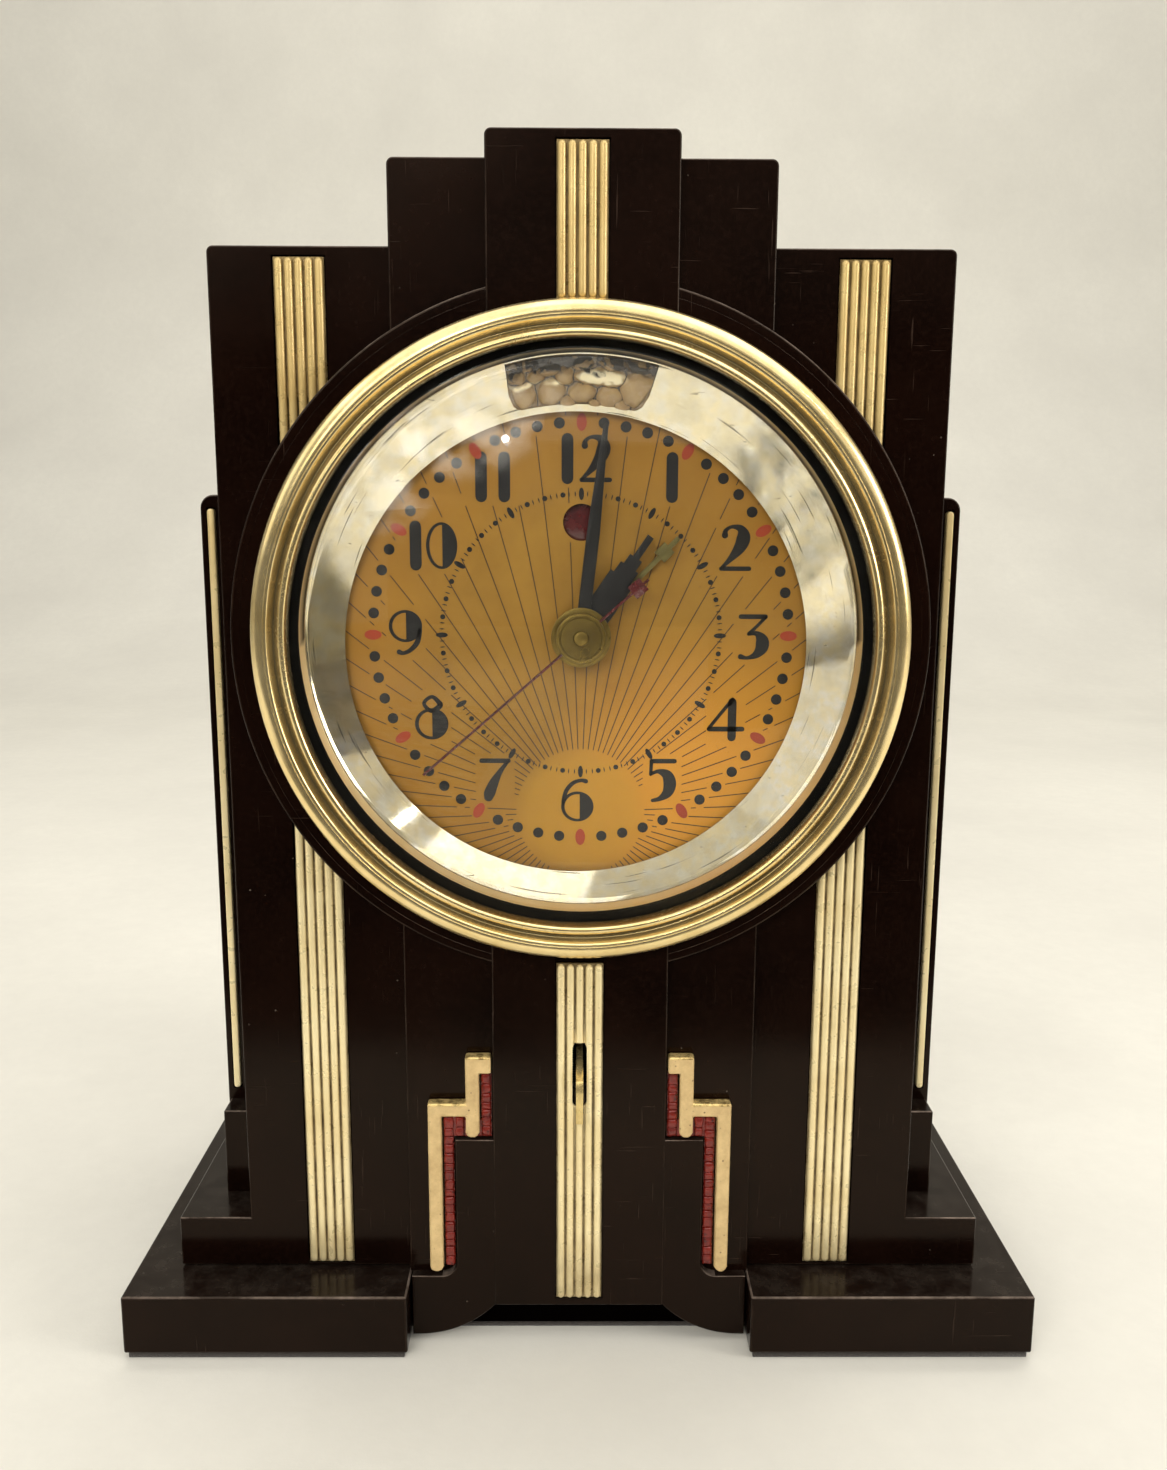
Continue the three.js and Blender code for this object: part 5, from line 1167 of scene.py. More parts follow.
def reflector():
    """A flange, a short steep wall and a flat mirror cone, with a window for the lamp's diffuser."""
    (outer, near), (inner, far) = MIRROR_OUTER, MIRROR_INNER
    steps = 8
    cone = [(outer + (inner - outer) * step / steps, near + (far - near) * step / steps)
            for step in range(steps + 1)]
    profile = [(50.6, -39.4), (44.95, -39.4), (44.75, -39.32), (44.6, -39.1), (44.45, -38.5), (43.85, -36.7)]
    profile += cone + [(inner - 0.02, far + 0.22), (inner + 0.2, far + 0.3)]
    profile += [(outer + 0.3, near + 0.5), (44.9, -38.6), (45.2, -38.9), (50.6, -38.9)]
    ring = turned(profile, closed=True, segments=192)
    window = ring_sector(38.2, 43.55, 15.8, 2.0, -41, -30)
    part = skewed(combined(ring, [("DIFFERENCE", window)]))
    rim = part.verts.layers.float.new("edge")
    # Painted shade: the flange's face, the inner lip and the upper corner of the wall are marked to be
    # painted near black
    soot_and_shade_mask = part.verts.layers.float.new("burnt")
    for vert in part.verts:
        vert[rim] = 1.0 if vert.co.y < near - 0.2 else 0.0
        corner = abs(vert.co.y - near + 0.3) < 0.05 and vert.co.z > DIAL_Z
        vert[soot_and_shade_mask] = 1.0 if vert.co.y < -39.35 or vert.co.y > far + 0.1 or corner else 0.0
    piece("reflector_cone", part, "mirror_ring", nodes=["reflector"], angle=40)


# Blisters of the diffuser: along the ring, up from its lower edge, half width and half height
BLISTERS = [
    (-8.7, 2.05, 1.8, 2.15), (-4.3, 2.05, 2.2, 2.1), (0.65, 1.6, 2.1, 1.6), (-1.5, 0.3, 1.4, 0.9),
    (5.0, 1.3, 2.0, 1.75), (8.8, 3.2, 2.4, 2.8), (2.9, 0.1, 1.1, 0.7), (7.3, 0.3, 1.4, 0.8),
    (3.3, 4.3, 4.1, 1.35), (-6.6, 4.8, 1.3, 0.9), (-9.9, 5.0, 1.5, 1.0), (-2.3, 4.4, 1.4, 1.4),
    (-4.6, 5.6, 1.7, 0.9), (0.4, 6.3, 1.6, 0.8), (4.8, 6.4, 1.9, 0.8), (8.2, 6.7, 1.8, 0.9),
    (-8.0, 6.6, 1.7, 0.8),
]


def diffuser():
    """The lamp's diffuser: a fine sheet over the mirror cone, raised in round blisters."""
    across, up = 300, 60
    (outer, near), (inner, far) = MIRROR_OUTER, MIRROR_INNER
    low, high, half = 38.35, 43.35, math.radians(15.6)
    tall = 7.3
    slope = Vector((outer - inner, far - near)).normalized()
    made = bmesh.new()
    groove = made.verts.layers.float.new("groove")
    painted_highlight = made.verts.layers.float.new("edge")
    burnt = made.verts.layers.float.new("burnt")

    def point(row, column, lift):
        turn = half * (2 * column / across - 1)
        corner = max(0.0, 1 - (1 - abs(2 * column / across - 1)) * half * 40 / 2.0)
        start = low + 1.9 * (1 - math.sqrt(max(0.0, 1 - corner ** 2)))
        radius = start + (high - start) * row / up
        y = far - (radius - inner) * (far - near) / (outer - inner)
        return Vector(((radius - lift * slope.y) * math.sin(turn), y - lift * slope.x,
                       DIAL_Z + (radius - lift * slope.y) * math.cos(turn)))

    front, back = [], []
    for row in range(up + 1):
        front_row, back_row = [], []
        for column in range(across + 1):
            along = half * (2 * column / across - 1) * 40.5
            height = tall * row / up
            waver = Vector((along * 0.8, height * 0.8, 2.0))
            along_too = along + 0.3 * noise.noise(waver)
            height_too = height + 0.3 * noise.noise(waver + Vector((9, 0, 0)))
            spread = sorted(((along_too - x) / wide) ** 2 + ((height_too - z) / deep) ** 2
                            for x, z, wide, deep in BLISTERS)
            border = math.sqrt(spread[1]) - math.sqrt(spread[0])
            dome = max(0.0, 1 - spread[0])
            vert = made.verts.new(point(row, column, 0.1 + 0.75 * math.sqrt(dome)))
            vert[groove] = max(0.0, 1 - border / 0.09) + (0.4 if dome == 0 else 0.0)
            speckle = noise.noise(Vector((along * 1.1, height * 1.6, 3.3)))
            # Painted highlight: a cream plateau in the middle and arcs over the upper left blisters
            plateau = max(0.0, 1 - ((along - 3.4) / 4.1) ** 2 - ((height - 4.5) / 1.15) ** 2)
            arc = 0.12 * (along_too + 6.4) ** 2 * 0.4
            arcs = max(0.0, 1 - abs(height - 3.95 + arc) / 0.5) * clamped((-2.4 - along) / 0.8)
            vert[painted_highlight] = clamped(max(2.5 * plateau, arcs) * (0.8 + 1.2 * speckle))
            char = (height - 5.45 + 2.2 * noise.noise(Vector((along * 0.55, height * 0.7, 8.1)))) / 0.7
            vert[burnt] = clamped(char) * (1.0 if speckle < 0.22 else 0.35)
            front_row.append(vert)
            back_row.append(made.verts.new(point(row, column, -0.4)))
        front.append(front_row)
        back.append(back_row)
    for row in range(up):
        low_front, high_front, low_back, high_back = front[row], front[row + 1], back[row], back[row + 1]
        for column in range(across):
            after = column + 1
            made.faces.new((low_front[column], low_front[after], high_front[after], high_front[column]))
            made.faces.new((low_back[column], high_back[column], high_back[after], low_back[after]))
    for column in range(across):
        after = column + 1
        for row in (0, up):
            made.faces.new((front[row][column], front[row][after], back[row][after], back[row][column]))
    for row in range(up):
        above = row + 1
        for column in (0, across):
            made.faces.new((front[row][column], front[above][column], back[above][column], back[row][column]))
    bmesh.ops.recalc_face_normals(made, faces=made.faces)
    piece("diffuser_sheet", skewed(made), "amber_diffuser", nodes=["lamp_diffuser"], angle=60)


# Dial, with its printing
def dial():
    """The dial's sheet with its bore, its window and its feet."""
    front, back = DIAL_FRONT, -30.7
    plate = turned([(0, front), (40.7, front), (40.8, front + 0.1), (40.8, back), (0, back)], segments=160)
    places = [(x, z) for x in (-31, 31) for z in (DIAL_Z - 24, DIAL_Z + 24)]
    feet = [("UNION", rod(x, z, 1, -31, -24.8, 16)) for x, z in places]
    holes = [("DIFFERENCE", rod(0, DIAL_Z, 3.6, front - 1, back + 1, 64)),
             ("DIFFERENCE", rod(0, DIAL_Z + WINDOW_UP, 2.95, front - 1, back + 1, 64))]
    piece("dial_sheet", combined(plate, feet + holes), "dial_paint", nodes=["dial_plate"])


def flat_outline(points, lift, thick=0.05):
    """A thin printed shape on the dial, from (x, z) points about the dial's centre."""
    return prism(on_axis(points), DIAL_FRONT - lift, DIAL_FRONT - lift + thick)


def round_mark(x, z, across, along, turn=0.0, steps=20):
    """An ellipse whose longer axis points along a clock angle."""
    points = []
    for step in range(steps):
        a = 2 * math.pi * step / steps
        u, v = across * math.cos(a), along * math.sin(a)
        right = u * math.cos(turn) + v * math.sin(turn)
        upward = v * math.cos(turn) - u * math.sin(turn)
        points.append((x + right, z + upward))
    return points


def stroke(points, widths, steps=7):
    """Outline of a pen stroke of changing width through (x, z) points, with round ends."""
    path = smooth_profile(points, steps)
    wide = [width for width, _ in smooth_profile([(width, 0) for width in widths], steps)]
    left, right = [], []
    for number, (x, z) in enumerate(path):
        before = path[max(number - 1, 0)]
        after = path[min(number + 1, len(path) - 1)]
        dx, dz = after[0] - before[0], after[1] - before[1]
        length = math.hypot(dx, dz) or 1.0
        half = max(wide[number], 0.02) / 2
        left.append((x - dz / length * half, z + dx / length * half))
        right.append((x + dz / length * half, z - dx / length * half))

    def cap(start, centre, half):
        first = math.atan2(start[1] - centre[1], start[0] - centre[0])
        angles = [first - math.pi * part / 6 for part in range(1, 6)]
        return [(centre[0] + half * math.cos(a), centre[1] + half * math.sin(a)) for a in angles]

    ends = cap(left[-1], path[-1], wide[-1] / 2)
    starts = cap(right[0], path[0], wide[0] / 2)
    return left + ends + right[::-1] + starts


def half_bowl(cx, cz, rx, rz, line, split):
    """A bowl whose left half is an outline and whose right half is filled, as two outlines."""
    filled = [(cx + split, cz + rz * math.sqrt(max(0.0, 1 - (split / rx) ** 2)))]
    start = math.asin(split / rx)
    for step in range(21):
        a = start + (math.pi - 2 * start) * step / 20
        filled.append((cx + rx * math.sin(a), cz + rz * math.cos(a)))
    hollow = []
    for step in range(25):
        a = start + 0.06 - (math.pi + 2 * start + 0.12) * step / 24
        hollow.append((cx + rx * math.sin(a), cz + rz * math.cos(a)))
    for step in range(25):
        a = start + 0.06 - (math.pi + 2 * start + 0.12) * (24 - step) / 24
        hollow.append((cx + (rx - line) * math.sin(a), cz + (rz - line * 0.8) * math.cos(a)))
    return [filled, hollow]


def numeral(figure):
    """Outlines of one figure, about 15 units tall, round its own middle."""
    if figure == "0":
        return half_bowl(0, 0, 5.2, 7.7, 1.15, 0.2)
    if figure == "1":
        return [stroke([(0, -6.3), (0, 0), (0, 6.3)], [3.9, 3.9, 3.9], 2)]
    if figure == "2":
        return [stroke([(-3.6, 4.2), (-3.3, 5.8), (-1.2, 7.0), (1.6, 6.3), (2.6, 3.6), (1.4, 0.2),
                        (-1.6, -3.6), (-4.4, -6.4)], [2.2, 1.4, 1.2, 2.6, 4.6, 4.0, 2.0, 1.0]),
                stroke([(-4.6, -6.8), (0, -6.8), (4.7, -6.8)], [1.5, 1.5, 1.5], 2)]
    if figure == "3":
        return [stroke([(-4.2, 6.9), (0, 6.9), (4.1, 6.9)], [1.6, 1.6, 1.6], 2),
                stroke([(4.0, 6.6), (1.2, 3.6), (-1.4, 1.1)], [1.2, 1.1, 1.3], 3),
                stroke([(-1.4, 1.1), (1.2, 1.2), (3.0, -0.8), (3.1, -3.4), (1.2, -5.9), (-1.6, -7.0),
                        (-4.0, -6.6)], [1.2, 1.8, 4.2, 4.4, 2.6, 1.2, 1.8])]
    if figure == "4":
        return [stroke([(2.2, 7.0), (-1.9, 2.0), (-5.7, -2.9)], [1.4, 1.2, 1.2], 3),
                stroke([(-5.6, -3.2), (0, -3.2), (5.6, -3.2)], [1.7, 1.7, 1.7], 2),
                stroke([(2.1, 6.1), (2.1, 0), (2.1, -6.0)], [2.9, 2.9, 2.9], 2)]
    if figure == "5":
        return [stroke([(-3.6, 6.8), (0, 6.8), (4.2, 6.8)], [1.6, 1.6, 1.6], 2),
                stroke([(-3.7, 6.8), (-3.8, 4.4), (-3.9, 2.2)], [1.3, 1.2, 1.2], 2),
                stroke([(-3.9, 2.2), (-1.4, 3.2), (1.6, 2.0), (2.7, -1.0), (1.9, -4.2), (-0.6, -6.3),
                        (-3.2, -7.0)], [1.1, 1.5, 3.6, 4.4, 3.6, 1.8, 1.2])]
    if figure == "6":
        return [*half_bowl(0, -2.2, 5.6, 5.3, 1.2, 0.8),
                stroke([(-4.9, -0.6), (-3.9, 3.2), (-1.6, 6.0), (1.2, 7.0), (2.9, 6.7)],
                       [1.3, 1.5, 1.4, 1.3, 1.6])]
    if figure == "7":
        return [stroke([(-4.6, 6.8), (0, 6.8), (4.6, 6.8)], [1.6, 1.6, 1.6], 2),
                stroke([(4.3, 6.5), (1.7, 3.0), (-0.4, -0.8), (-1.9, -4.4), (-2.3, -5.9)],
                       [1.2, 1.8, 3.2, 3.9, 3.2])]
    if figure == "8":
        top = stroke([(3.0, 4.6), (0.3, 7.0), (-2.5, 4.8), (-0.2, 2.2), (2.6, 3.6), (3.0, 4.6)],
                     [1.8, 1.3, 1.3, 1.5, 1.9, 1.8])
        return [top, *half_bowl(0, -2.3, 5.7, 5.4, 1.3, 0.2)]
    return [*half_bowl(0, 2.1, 5.6, 5.4, 1.2, 0.2),
            stroke([(4.9, 0.6), (3.9, -3.2), (1.6, -5.9), (-0.8, -7.0), (-2.3, -6.6)],
                   [1.4, 1.8, 1.5, 1.3, 1.7])]


# Where each hour's numeral stands from the dial's centre, and the gap between two figures
NUMERALS = [
    ("12", 0.0, 28.2, 4.5), ("1", 14.5, 25.3, 0), ("2", 24.9, 14.2, 0), ("3", 28.1, -0.2, 0),
    ("4", 24.0, -13.9, 0), ("5", 13.6, -24.2, 0), ("6", -0.5, -27.6, 0), ("7", -14.2, -24.2, 0),
    ("8", -24.6, -13.6, 0), ("9", -28.6, 0.4, 0), ("10", -24.6, 14.4, 4.2), ("11", -14.2, 25.3, 3.7),
]
NUMERAL_UNIT = 0.485


def printing():
    """Figures, minute dots, hour marks, the ring of the alarm and the rays."""
    black = []
    for text, x, z, gap in NUMERALS:
        for place, figure in enumerate(text):
            shift = (place - (len(text) - 1) / 2) * gap
            for outline in numeral(figure):
                black.append([(x + shift + u * NUMERAL_UNIT, z + v * NUMERAL_UNIT) for u, v in outline])
    red = []
    for minute in range(60):
        turn = math.radians(6 * minute)
        x, z = MINUTE_RING * math.sin(turn), MINUTE_RING * math.cos(turn)
        if minute % 5:
            black.append(round_mark(x, z, 0.88, 0.88))
        else:
            red.append(round_mark(x, z, 0.82, 1.4, turn))
    for mark in range(144):
        turn = math.radians(2.5 * mark)
        x, z = ALARM_RING * math.sin(turn), ALARM_RING * math.cos(turn)
        if mark % 12 == 0:
            black.append(round_mark(x, z, 0.42, 1.0, turn, 14))
        elif mark % 3 == 0:
            black.append(round_mark(x, z, 0.42, 0.42, 0, 12))
        else:
            black.append(round_mark(x, z, 0.1, 0.45, turn, 6))
    piece("dial_figures", printed(black, 0.04), "black_paint", angle=60)
    piece("dial_hour_marks", printed(red, 0.045), "red_print")
    piece("dial_rays", printed(sun_rays(), 0.02), "brown_print")


def printed(outlines, lift):
    return merged(*[flat_outline(outline, lift) for outline in outlines])


def sun_rays():
    """Thin rays from the blank circle round the six, broken at the figures and the two rings of marks."""
    origin = Vector((0.0, -SIX_DOWN))
    half = 0.085
    outlines = []
    count = 80
    for number in range(count):
        turn = 2 * math.pi * (number + 0.5) / count
        if abs(turn - math.pi) < math.radians(27):
            continue
        step = Vector((math.sin(turn), math.cos(turn)))
        side = Vector((step.y, -step.x)) * half
        run = []
        at = 10.7
        while at < 70:
            spot = origin + step * at
            radius = spot.length
            free = radius < 40.2 and clear_of_figures(spot) and clear_of_dots(spot)
            if free:
                run.append(at)
            if run and (not free or at > 69.7):
                if run[-1] - run[0] > 0.7:
                    a, b = origin + step * run[0], origin + step * run[-1]
                    outlines.append([tuple(corner) for corner in (a - side, a + side, b + side, b - side)])
                run = []
            at += 0.12
    return outlines


def clear_of_dots(spot):
    """Whether a spot is off the dots of the outer ring."""
    turn = round(math.atan2(spot.x, spot.y) / math.radians(6)) * math.radians(6)
    dot = Vector((MINUTE_RING * math.sin(turn), MINUTE_RING * math.cos(turn)))
    return (spot - dot).length > 1.5


def clear_of_figures(spot):
    for text, x, z, gap in NUMERALS:
        half_wide = (gap * (len(text) - 1) + 4.6) / 2 if text != "1" else 1.6
        if abs(spot.x - x) < half_wide + 0.9 and abs(spot.y - z) < 4.5:
            return False
    return (spot - Vector((0, WINDOW_UP))).length > 3.6 and spot.length > 3.6


# Hands, made at twelve and turned to where the photograph has them
def set_at(part, degrees):
    """Turns a hand clockwise about the dial's axis."""
    lift = Matrix.Translation((0, 0, DIAL_Z))
    part.transform(lift @ Matrix.Rotation(math.radians(degrees), 4, "Y") @ lift.inverted())
    return part


def on_axis(points):
    return [(x, DIAL_Z + z) for x, z in points]


def blade(points, front):
    return prism(on_axis(points), front, front + HAND_THICK, bevel=0.1, segments=2,
                 only=lambda edge: all(abs(vert.co.y - front) < 0.01 for vert in edge.verts))


def hand_disc(radius, front, segments):
    return rod(0, DIAL_Z, radius, front, front + HAND_THICK, segments)


def bored(part, radius, front):
    return combined(part, [("DIFFERENCE", rod(0, DIAL_Z, radius, front - 1, front + HAND_THICK + 1, 48))])


def bar(width, start, end):
    half = width / 2
    return [(-half, start), (half, start), (half, end), (-half, end)]


def hands():
    minute_hand(-35.2)
    hour_hand(-34.05)
    alarm_hand(-32.9)
    second_hand(-36.35)


def minute_hand(front):
    outline = [(-1.05, 0), (1.05, 0), (1.05, 16.9), (0.4, 33.4), (0, 33.8), (-0.4, 33.4), (-1.05, 16.9)]
    arm = combined(blade(outline, front), [("UNION", hand_disc(2.6, front, 40))])
    piece("minute_blade", set_at(bored(arm, 0.9, front), 6.5), "black_paint", "minute_works", ["minute_hand"])
    hub = turned([(0.9, -35.22), (0.9, -35.6), (3.3, -35.6), (3.35, -35.5), (3.5, -35.5), (3.55, -35.6),
                  (4.45, -35.6), (4.75, -35.5), (4.8, -35.35), (4.75, -35.22)], closed=True, segments=96)
    ring_values(hub, "groove", lambda radius, y: max(0.0, 1 - abs(radius - 3.42) / 0.12))
    piece("minute_hub", hub, "old_brass", "minute_works")


def hour_hand(front):
    steps = [(0.575, 19.5), (0.575, 15.4), (1.15, 15.4), (1.15, 13.6), (1.7, 13.6), (1.7, 11.6), (2.3, 11.6),
             (2.3, 0)]
    part = blade(steps + [(-x, z) for x, z in reversed(steps)], front)
    part = combined(part, [("UNION", hand_disc(4.2, front, 48))])
    piece("hour_blade", set_at(bored(part, 2.42, front), 34.7), "black_paint", "hour_works", ["hour_hand"])


def alarm_hand(front):
    tools = [("UNION", blade(bar(2.3, 17.85, 20.15), front)), ("UNION", hand_disc(4.6, front, 48))]
    part = bored(combined(blade(bar(0.8, 0, 22.2), front), tools), 3.32, front)
    piece("alarm_blade", set_at(part, 44.7), "alarm_brass", "alarm_works", ["alarm_hand"])


def second_hand(front):
    counterweight = blade(bar(2.4, -13.2, -10.8), front)
    part = combined(blade(bar(0.42, -14.2, 34), front), [("UNION", counterweight)])
    piece("second_blade", set_at(part, -131.2), "red_paint", "second_works", ["second_hand"])
    cap = turned([(0, -37.68), (0.7, -37.65), (1.1, -37.5), (1.2, -37.25), (1.25, -37.15), (3.2, -37.15),
                  (3.25, -37.03), (3.42, -37.03), (3.47, -37.15), (3.7, -37.15), (3.95, -37.05),
                  (4.0, -36.85), (4.0, -36.37), (0, -36.37)], segments=72)
    lines = (1.3, 3.33)

    def darkening(radius, y):
        return max(0.0, 1 - min(abs(radius - line) for line in lines) / 0.16)

    ring_values(cap, "groove", darkening)
    piece("second_cap", cap, "old_brass", "second_works")


def flag():
    """Power-failure flag: a glossy disc behind the dial's window, on an arm that the reset lever turns."""
    x, z = FLAG_X, DIAL_Z + WINDOW_UP
    profile = [(0, -30.4), (3.2, -30.4), (3.45, -30.32), (3.5, -30.2), (3.45, -30.05), (3.2, -30), (0, -30)]
    disc = turned(profile, 0, z, 48)
    arm = prism(rounded_outline(0, x + 1.6, z - 1.1, z + 1.1, 0.9), -30.4, -30.0, bevel=0.08, segments=2)
    arbor = rod(x, z, 1, -30.4, 39, 32, 0.1)
    reset = prism(rounded_outline(x - 1.7, x + 1.7, z - 1.7, z + 13, 1.1), 38, 39.6, bevel=0.25)
    whole = combined(arm, [("UNION", disc), ("UNION", arbor), ("UNION", reset)])
    piece("flag_arm", whole, "red_paint", "flag", ["flag_lever"])


def front_lever():
    slope = math.tan(math.radians(12))
    pivot_y, pivot_z = -26, 52.5
    outline = [(12, 12 * slope + 1.25), (-16.9, -16.9 * slope + 1.25), (-18.2, -18.2 * slope + 0.9),
               (-18.65, -18.65 * slope + 0.1), (-18.7, -18.7 * slope - 0.8), (-18.7, -10.2), (-18.45, -10.32),
               (-17.85, -10.32), (-17.7, -10.1), (-17.3, -17.3 * slope - 1.5), (-17.1, -17.1 * slope - 1.25),
               (12, 12 * slope - 1.25)]
    shape = prism([(pivot_y + y, pivot_z + z) for y, z in outline], -0.6, 0.6, "X", 0.12, 2)

    def around_pivot(radius):
        turns = [math.pi * step / 16 for step in range(32)]
        return [(pivot_y + radius * math.cos(a), pivot_z + radius * math.sin(a)) for a in turns]

    eye = prism(around_pivot(2.9), -0.6, 0.6, "X")
    bore = prism(around_pivot(1.3), -2, 2, "X")
    whole = combined(shape, [("UNION", eye), ("DIFFERENCE", bore)])
    piece("lever_blade", whole, "lever_brass", "lever", ["front_lever"])


# Back of the clock: knobs, cover, grommet, screws and coil
def knurled_knob(name, node, x, z, body, flutes=40):
    """A knob with a grooved edge and a hollowed face, on the shaft and pinion of the CAD node."""
    y0, y1 = 38.0, 48.5
    profile = [(0, y1 - 1.1), (3.2, y1 - 1.1), (3.5, y1 - 0.9), (3.7, y1 - 0.35), (4.2, y1 - 0.05), (6.1, y1),
               (6.9, y1 - 0.4), (7.35, y1 - 1.1), (7.5, y1 - 2.0), (7.5, y0 + 2.6), (7.35, y0 + 2.1),
               (6.6, y0 + 1.9), (6.4, y0 + 1.6), (6.4, y0 + 0.3), (6.1, y0), (0, y0)]
    part = turned(profile, x, z, flutes * 6)
    for vert in part.verts:
        radius = math.hypot(vert.co.x - x, vert.co.z - z)
        if radius > 7.2:
            angle = math.atan2(vert.co.x - x, vert.co.z - z)
            share = 0.5 + 0.5 * math.cos(angle * flutes)
            shrink = 1 - 0.042 * share ** 2
            vert.co.x = x + (vert.co.x - x) * shrink
            vert.co.z = z + (vert.co.z - z) * shrink
    shaft = bmesh.new()
    shaft.from_mesh(frame["nodes"][node].data)
    bmesh.ops.remove_doubles(shaft, verts=shaft.verts, dist=1e-6)
    shaft.transform(Matrix.Scale(1 / MM, 4))
    shaft = combined(shaft, [("INTERSECT", block(-60, 60, -60, y0 + 0.2, 60, 160))])
    whole = combined(part, [("UNION", shaft)])
    layer = whole.verts.layers.float.new("groove")
    for vert in whole.verts:
        radius = math.hypot(vert.co.x - x, vert.co.z - z)
        dirty = 0.85 if 7.0 < radius < 7.25 else 0.5 if 3.2 < radius < 4 else 0.0
        vert[layer] = dirty if vert.co.y > y0 else 0.0
    piece(name, whole, "old_brass", body, [node], angle=40)


def cover():
    """The stepped back board with its vents and bores."""

    def board(tower_half, top):
        half = tower_half - WALL - GAP
        return block(-half, half, COVER_FRONT, COVER_BACK, CASE_BOTTOM, top - WALL - GAP, 0.35, 2)

    body = board(TOWER_HALF, TOWER_TOP)
    tools = [("UNION", board(STEP_HALF, STEP_TOP)), ("UNION", board(CENTRE_HALF, CENTRE_TOP))]
    for vent in range(5):
        bottom = 148 + 7 * vent
        tools.append(("DIFFERENCE", prism(rounded_outline(-11, 11, bottom, bottom + 3, 1.45), 30, 40)))
    bores = [(*TIME_KNOB, 2.25), (*ALARM_KNOB, 2.25), (FLAG_X, DIAL_Z + WINDOW_UP, 2), (0, GROMMET_Z, 5),
             (-SCREW_X, COVER_SCREW_Z, SCREW_BORE), (SCREW_X, COVER_SCREW_Z, SCREW_BORE)]
    for x, z, radius in bores:
        tools.append(("DIFFERENCE", rod(x, z, radius, 30, 40, 48)))
    piece("cover_board", combined(body, tools), "black_board", nodes=["back_cover"], weighted=True)


def grommet():
    profile = [(3.0, 31), (4.3, 31), (4.7, 31.5), (4.7, 37.3), (6.4, 37.3), (6.6, 37.5), (6.6, 38.2),
               (6.45, 38.5), (6.0, 38.75), (3.8, 38.8), (3.35, 38.65), (3.05, 38.3), (3.0, 37.9)]
    ring = turned(profile, 0, GROMMET_Z, 64, closed=True)
    piece("grommet_ring", ring, "black_rubber", nodes=["cord_grommet"])


def slotted(name, node, x, head_back, z, radius=3, head=1.6, length=9.0, upright_at=None):
    """A cheese-head screw with a sawn slot; upright_at gives y for a screw that stands along Z."""
    turns = int(length / 0.5)
    thread = []
    for step in range(turns):
        start = 0.4 + step * (length - 0.8) / turns
        thread += [(1.3, start), (1.14, start + 0.22)]
    cheese = [(1.3, length), (radius - 0.1, length), (radius, length + 0.15), (radius, length + head - 0.35),
              (radius - 0.35, length + head), (0, length + head)]
    made = turned([(0, 0), (1.05, 0), (1.2, 0.25)] + thread + cheese, 0, 0, 40)
    groove = block(-radius - 1, radius + 1, length + head - 0.7, length + head + 1, -0.35, 0.35)
    made = combined(made, [("DIFFERENCE", groove)])
    if upright_at is None:
        place = Matrix.Translation((x, head_back - length - head, z))
        made.transform(place @ Matrix.Rotation(0.5 + 0.01 * x, 4, "Y"))
    else:
        stand = Matrix(((1, 0, 0, x), (0, 0, 1, upright_at), (0, -1, 0, z + length + head), (0, 0, 0, 1)))
        made.transform(stand @ Matrix.Rotation(0.9, 4, "Y"))
    piece(name, made, "screw_steel", nodes=[node])


def screws():
    """Screws as long as those of the CAD nodes."""
    for label, side in (("left", -1), ("right", 1)):
        node = f"cover_screw_{label}"
        low, high = corners_of(node)
        slotted(node + "_head", node, side * SCREW_X, high.y, COVER_SCREW_Z, length=high.y - low.y - 1.6)
        node = f"base_screw_{label}"
        low, high = corners_of(node)
        slotted(node + "_head", node, side * SCREW_X, 0, low.z, length=high.z - low.z - 1.6,
                upright_at=BASE_SCREW_Y)


def corners_of(node):
    """The low and the high corner of a node's box, in millimetres."""
    low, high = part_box(node)
    return Vector(low) * 1000, Vector(high) * 1000


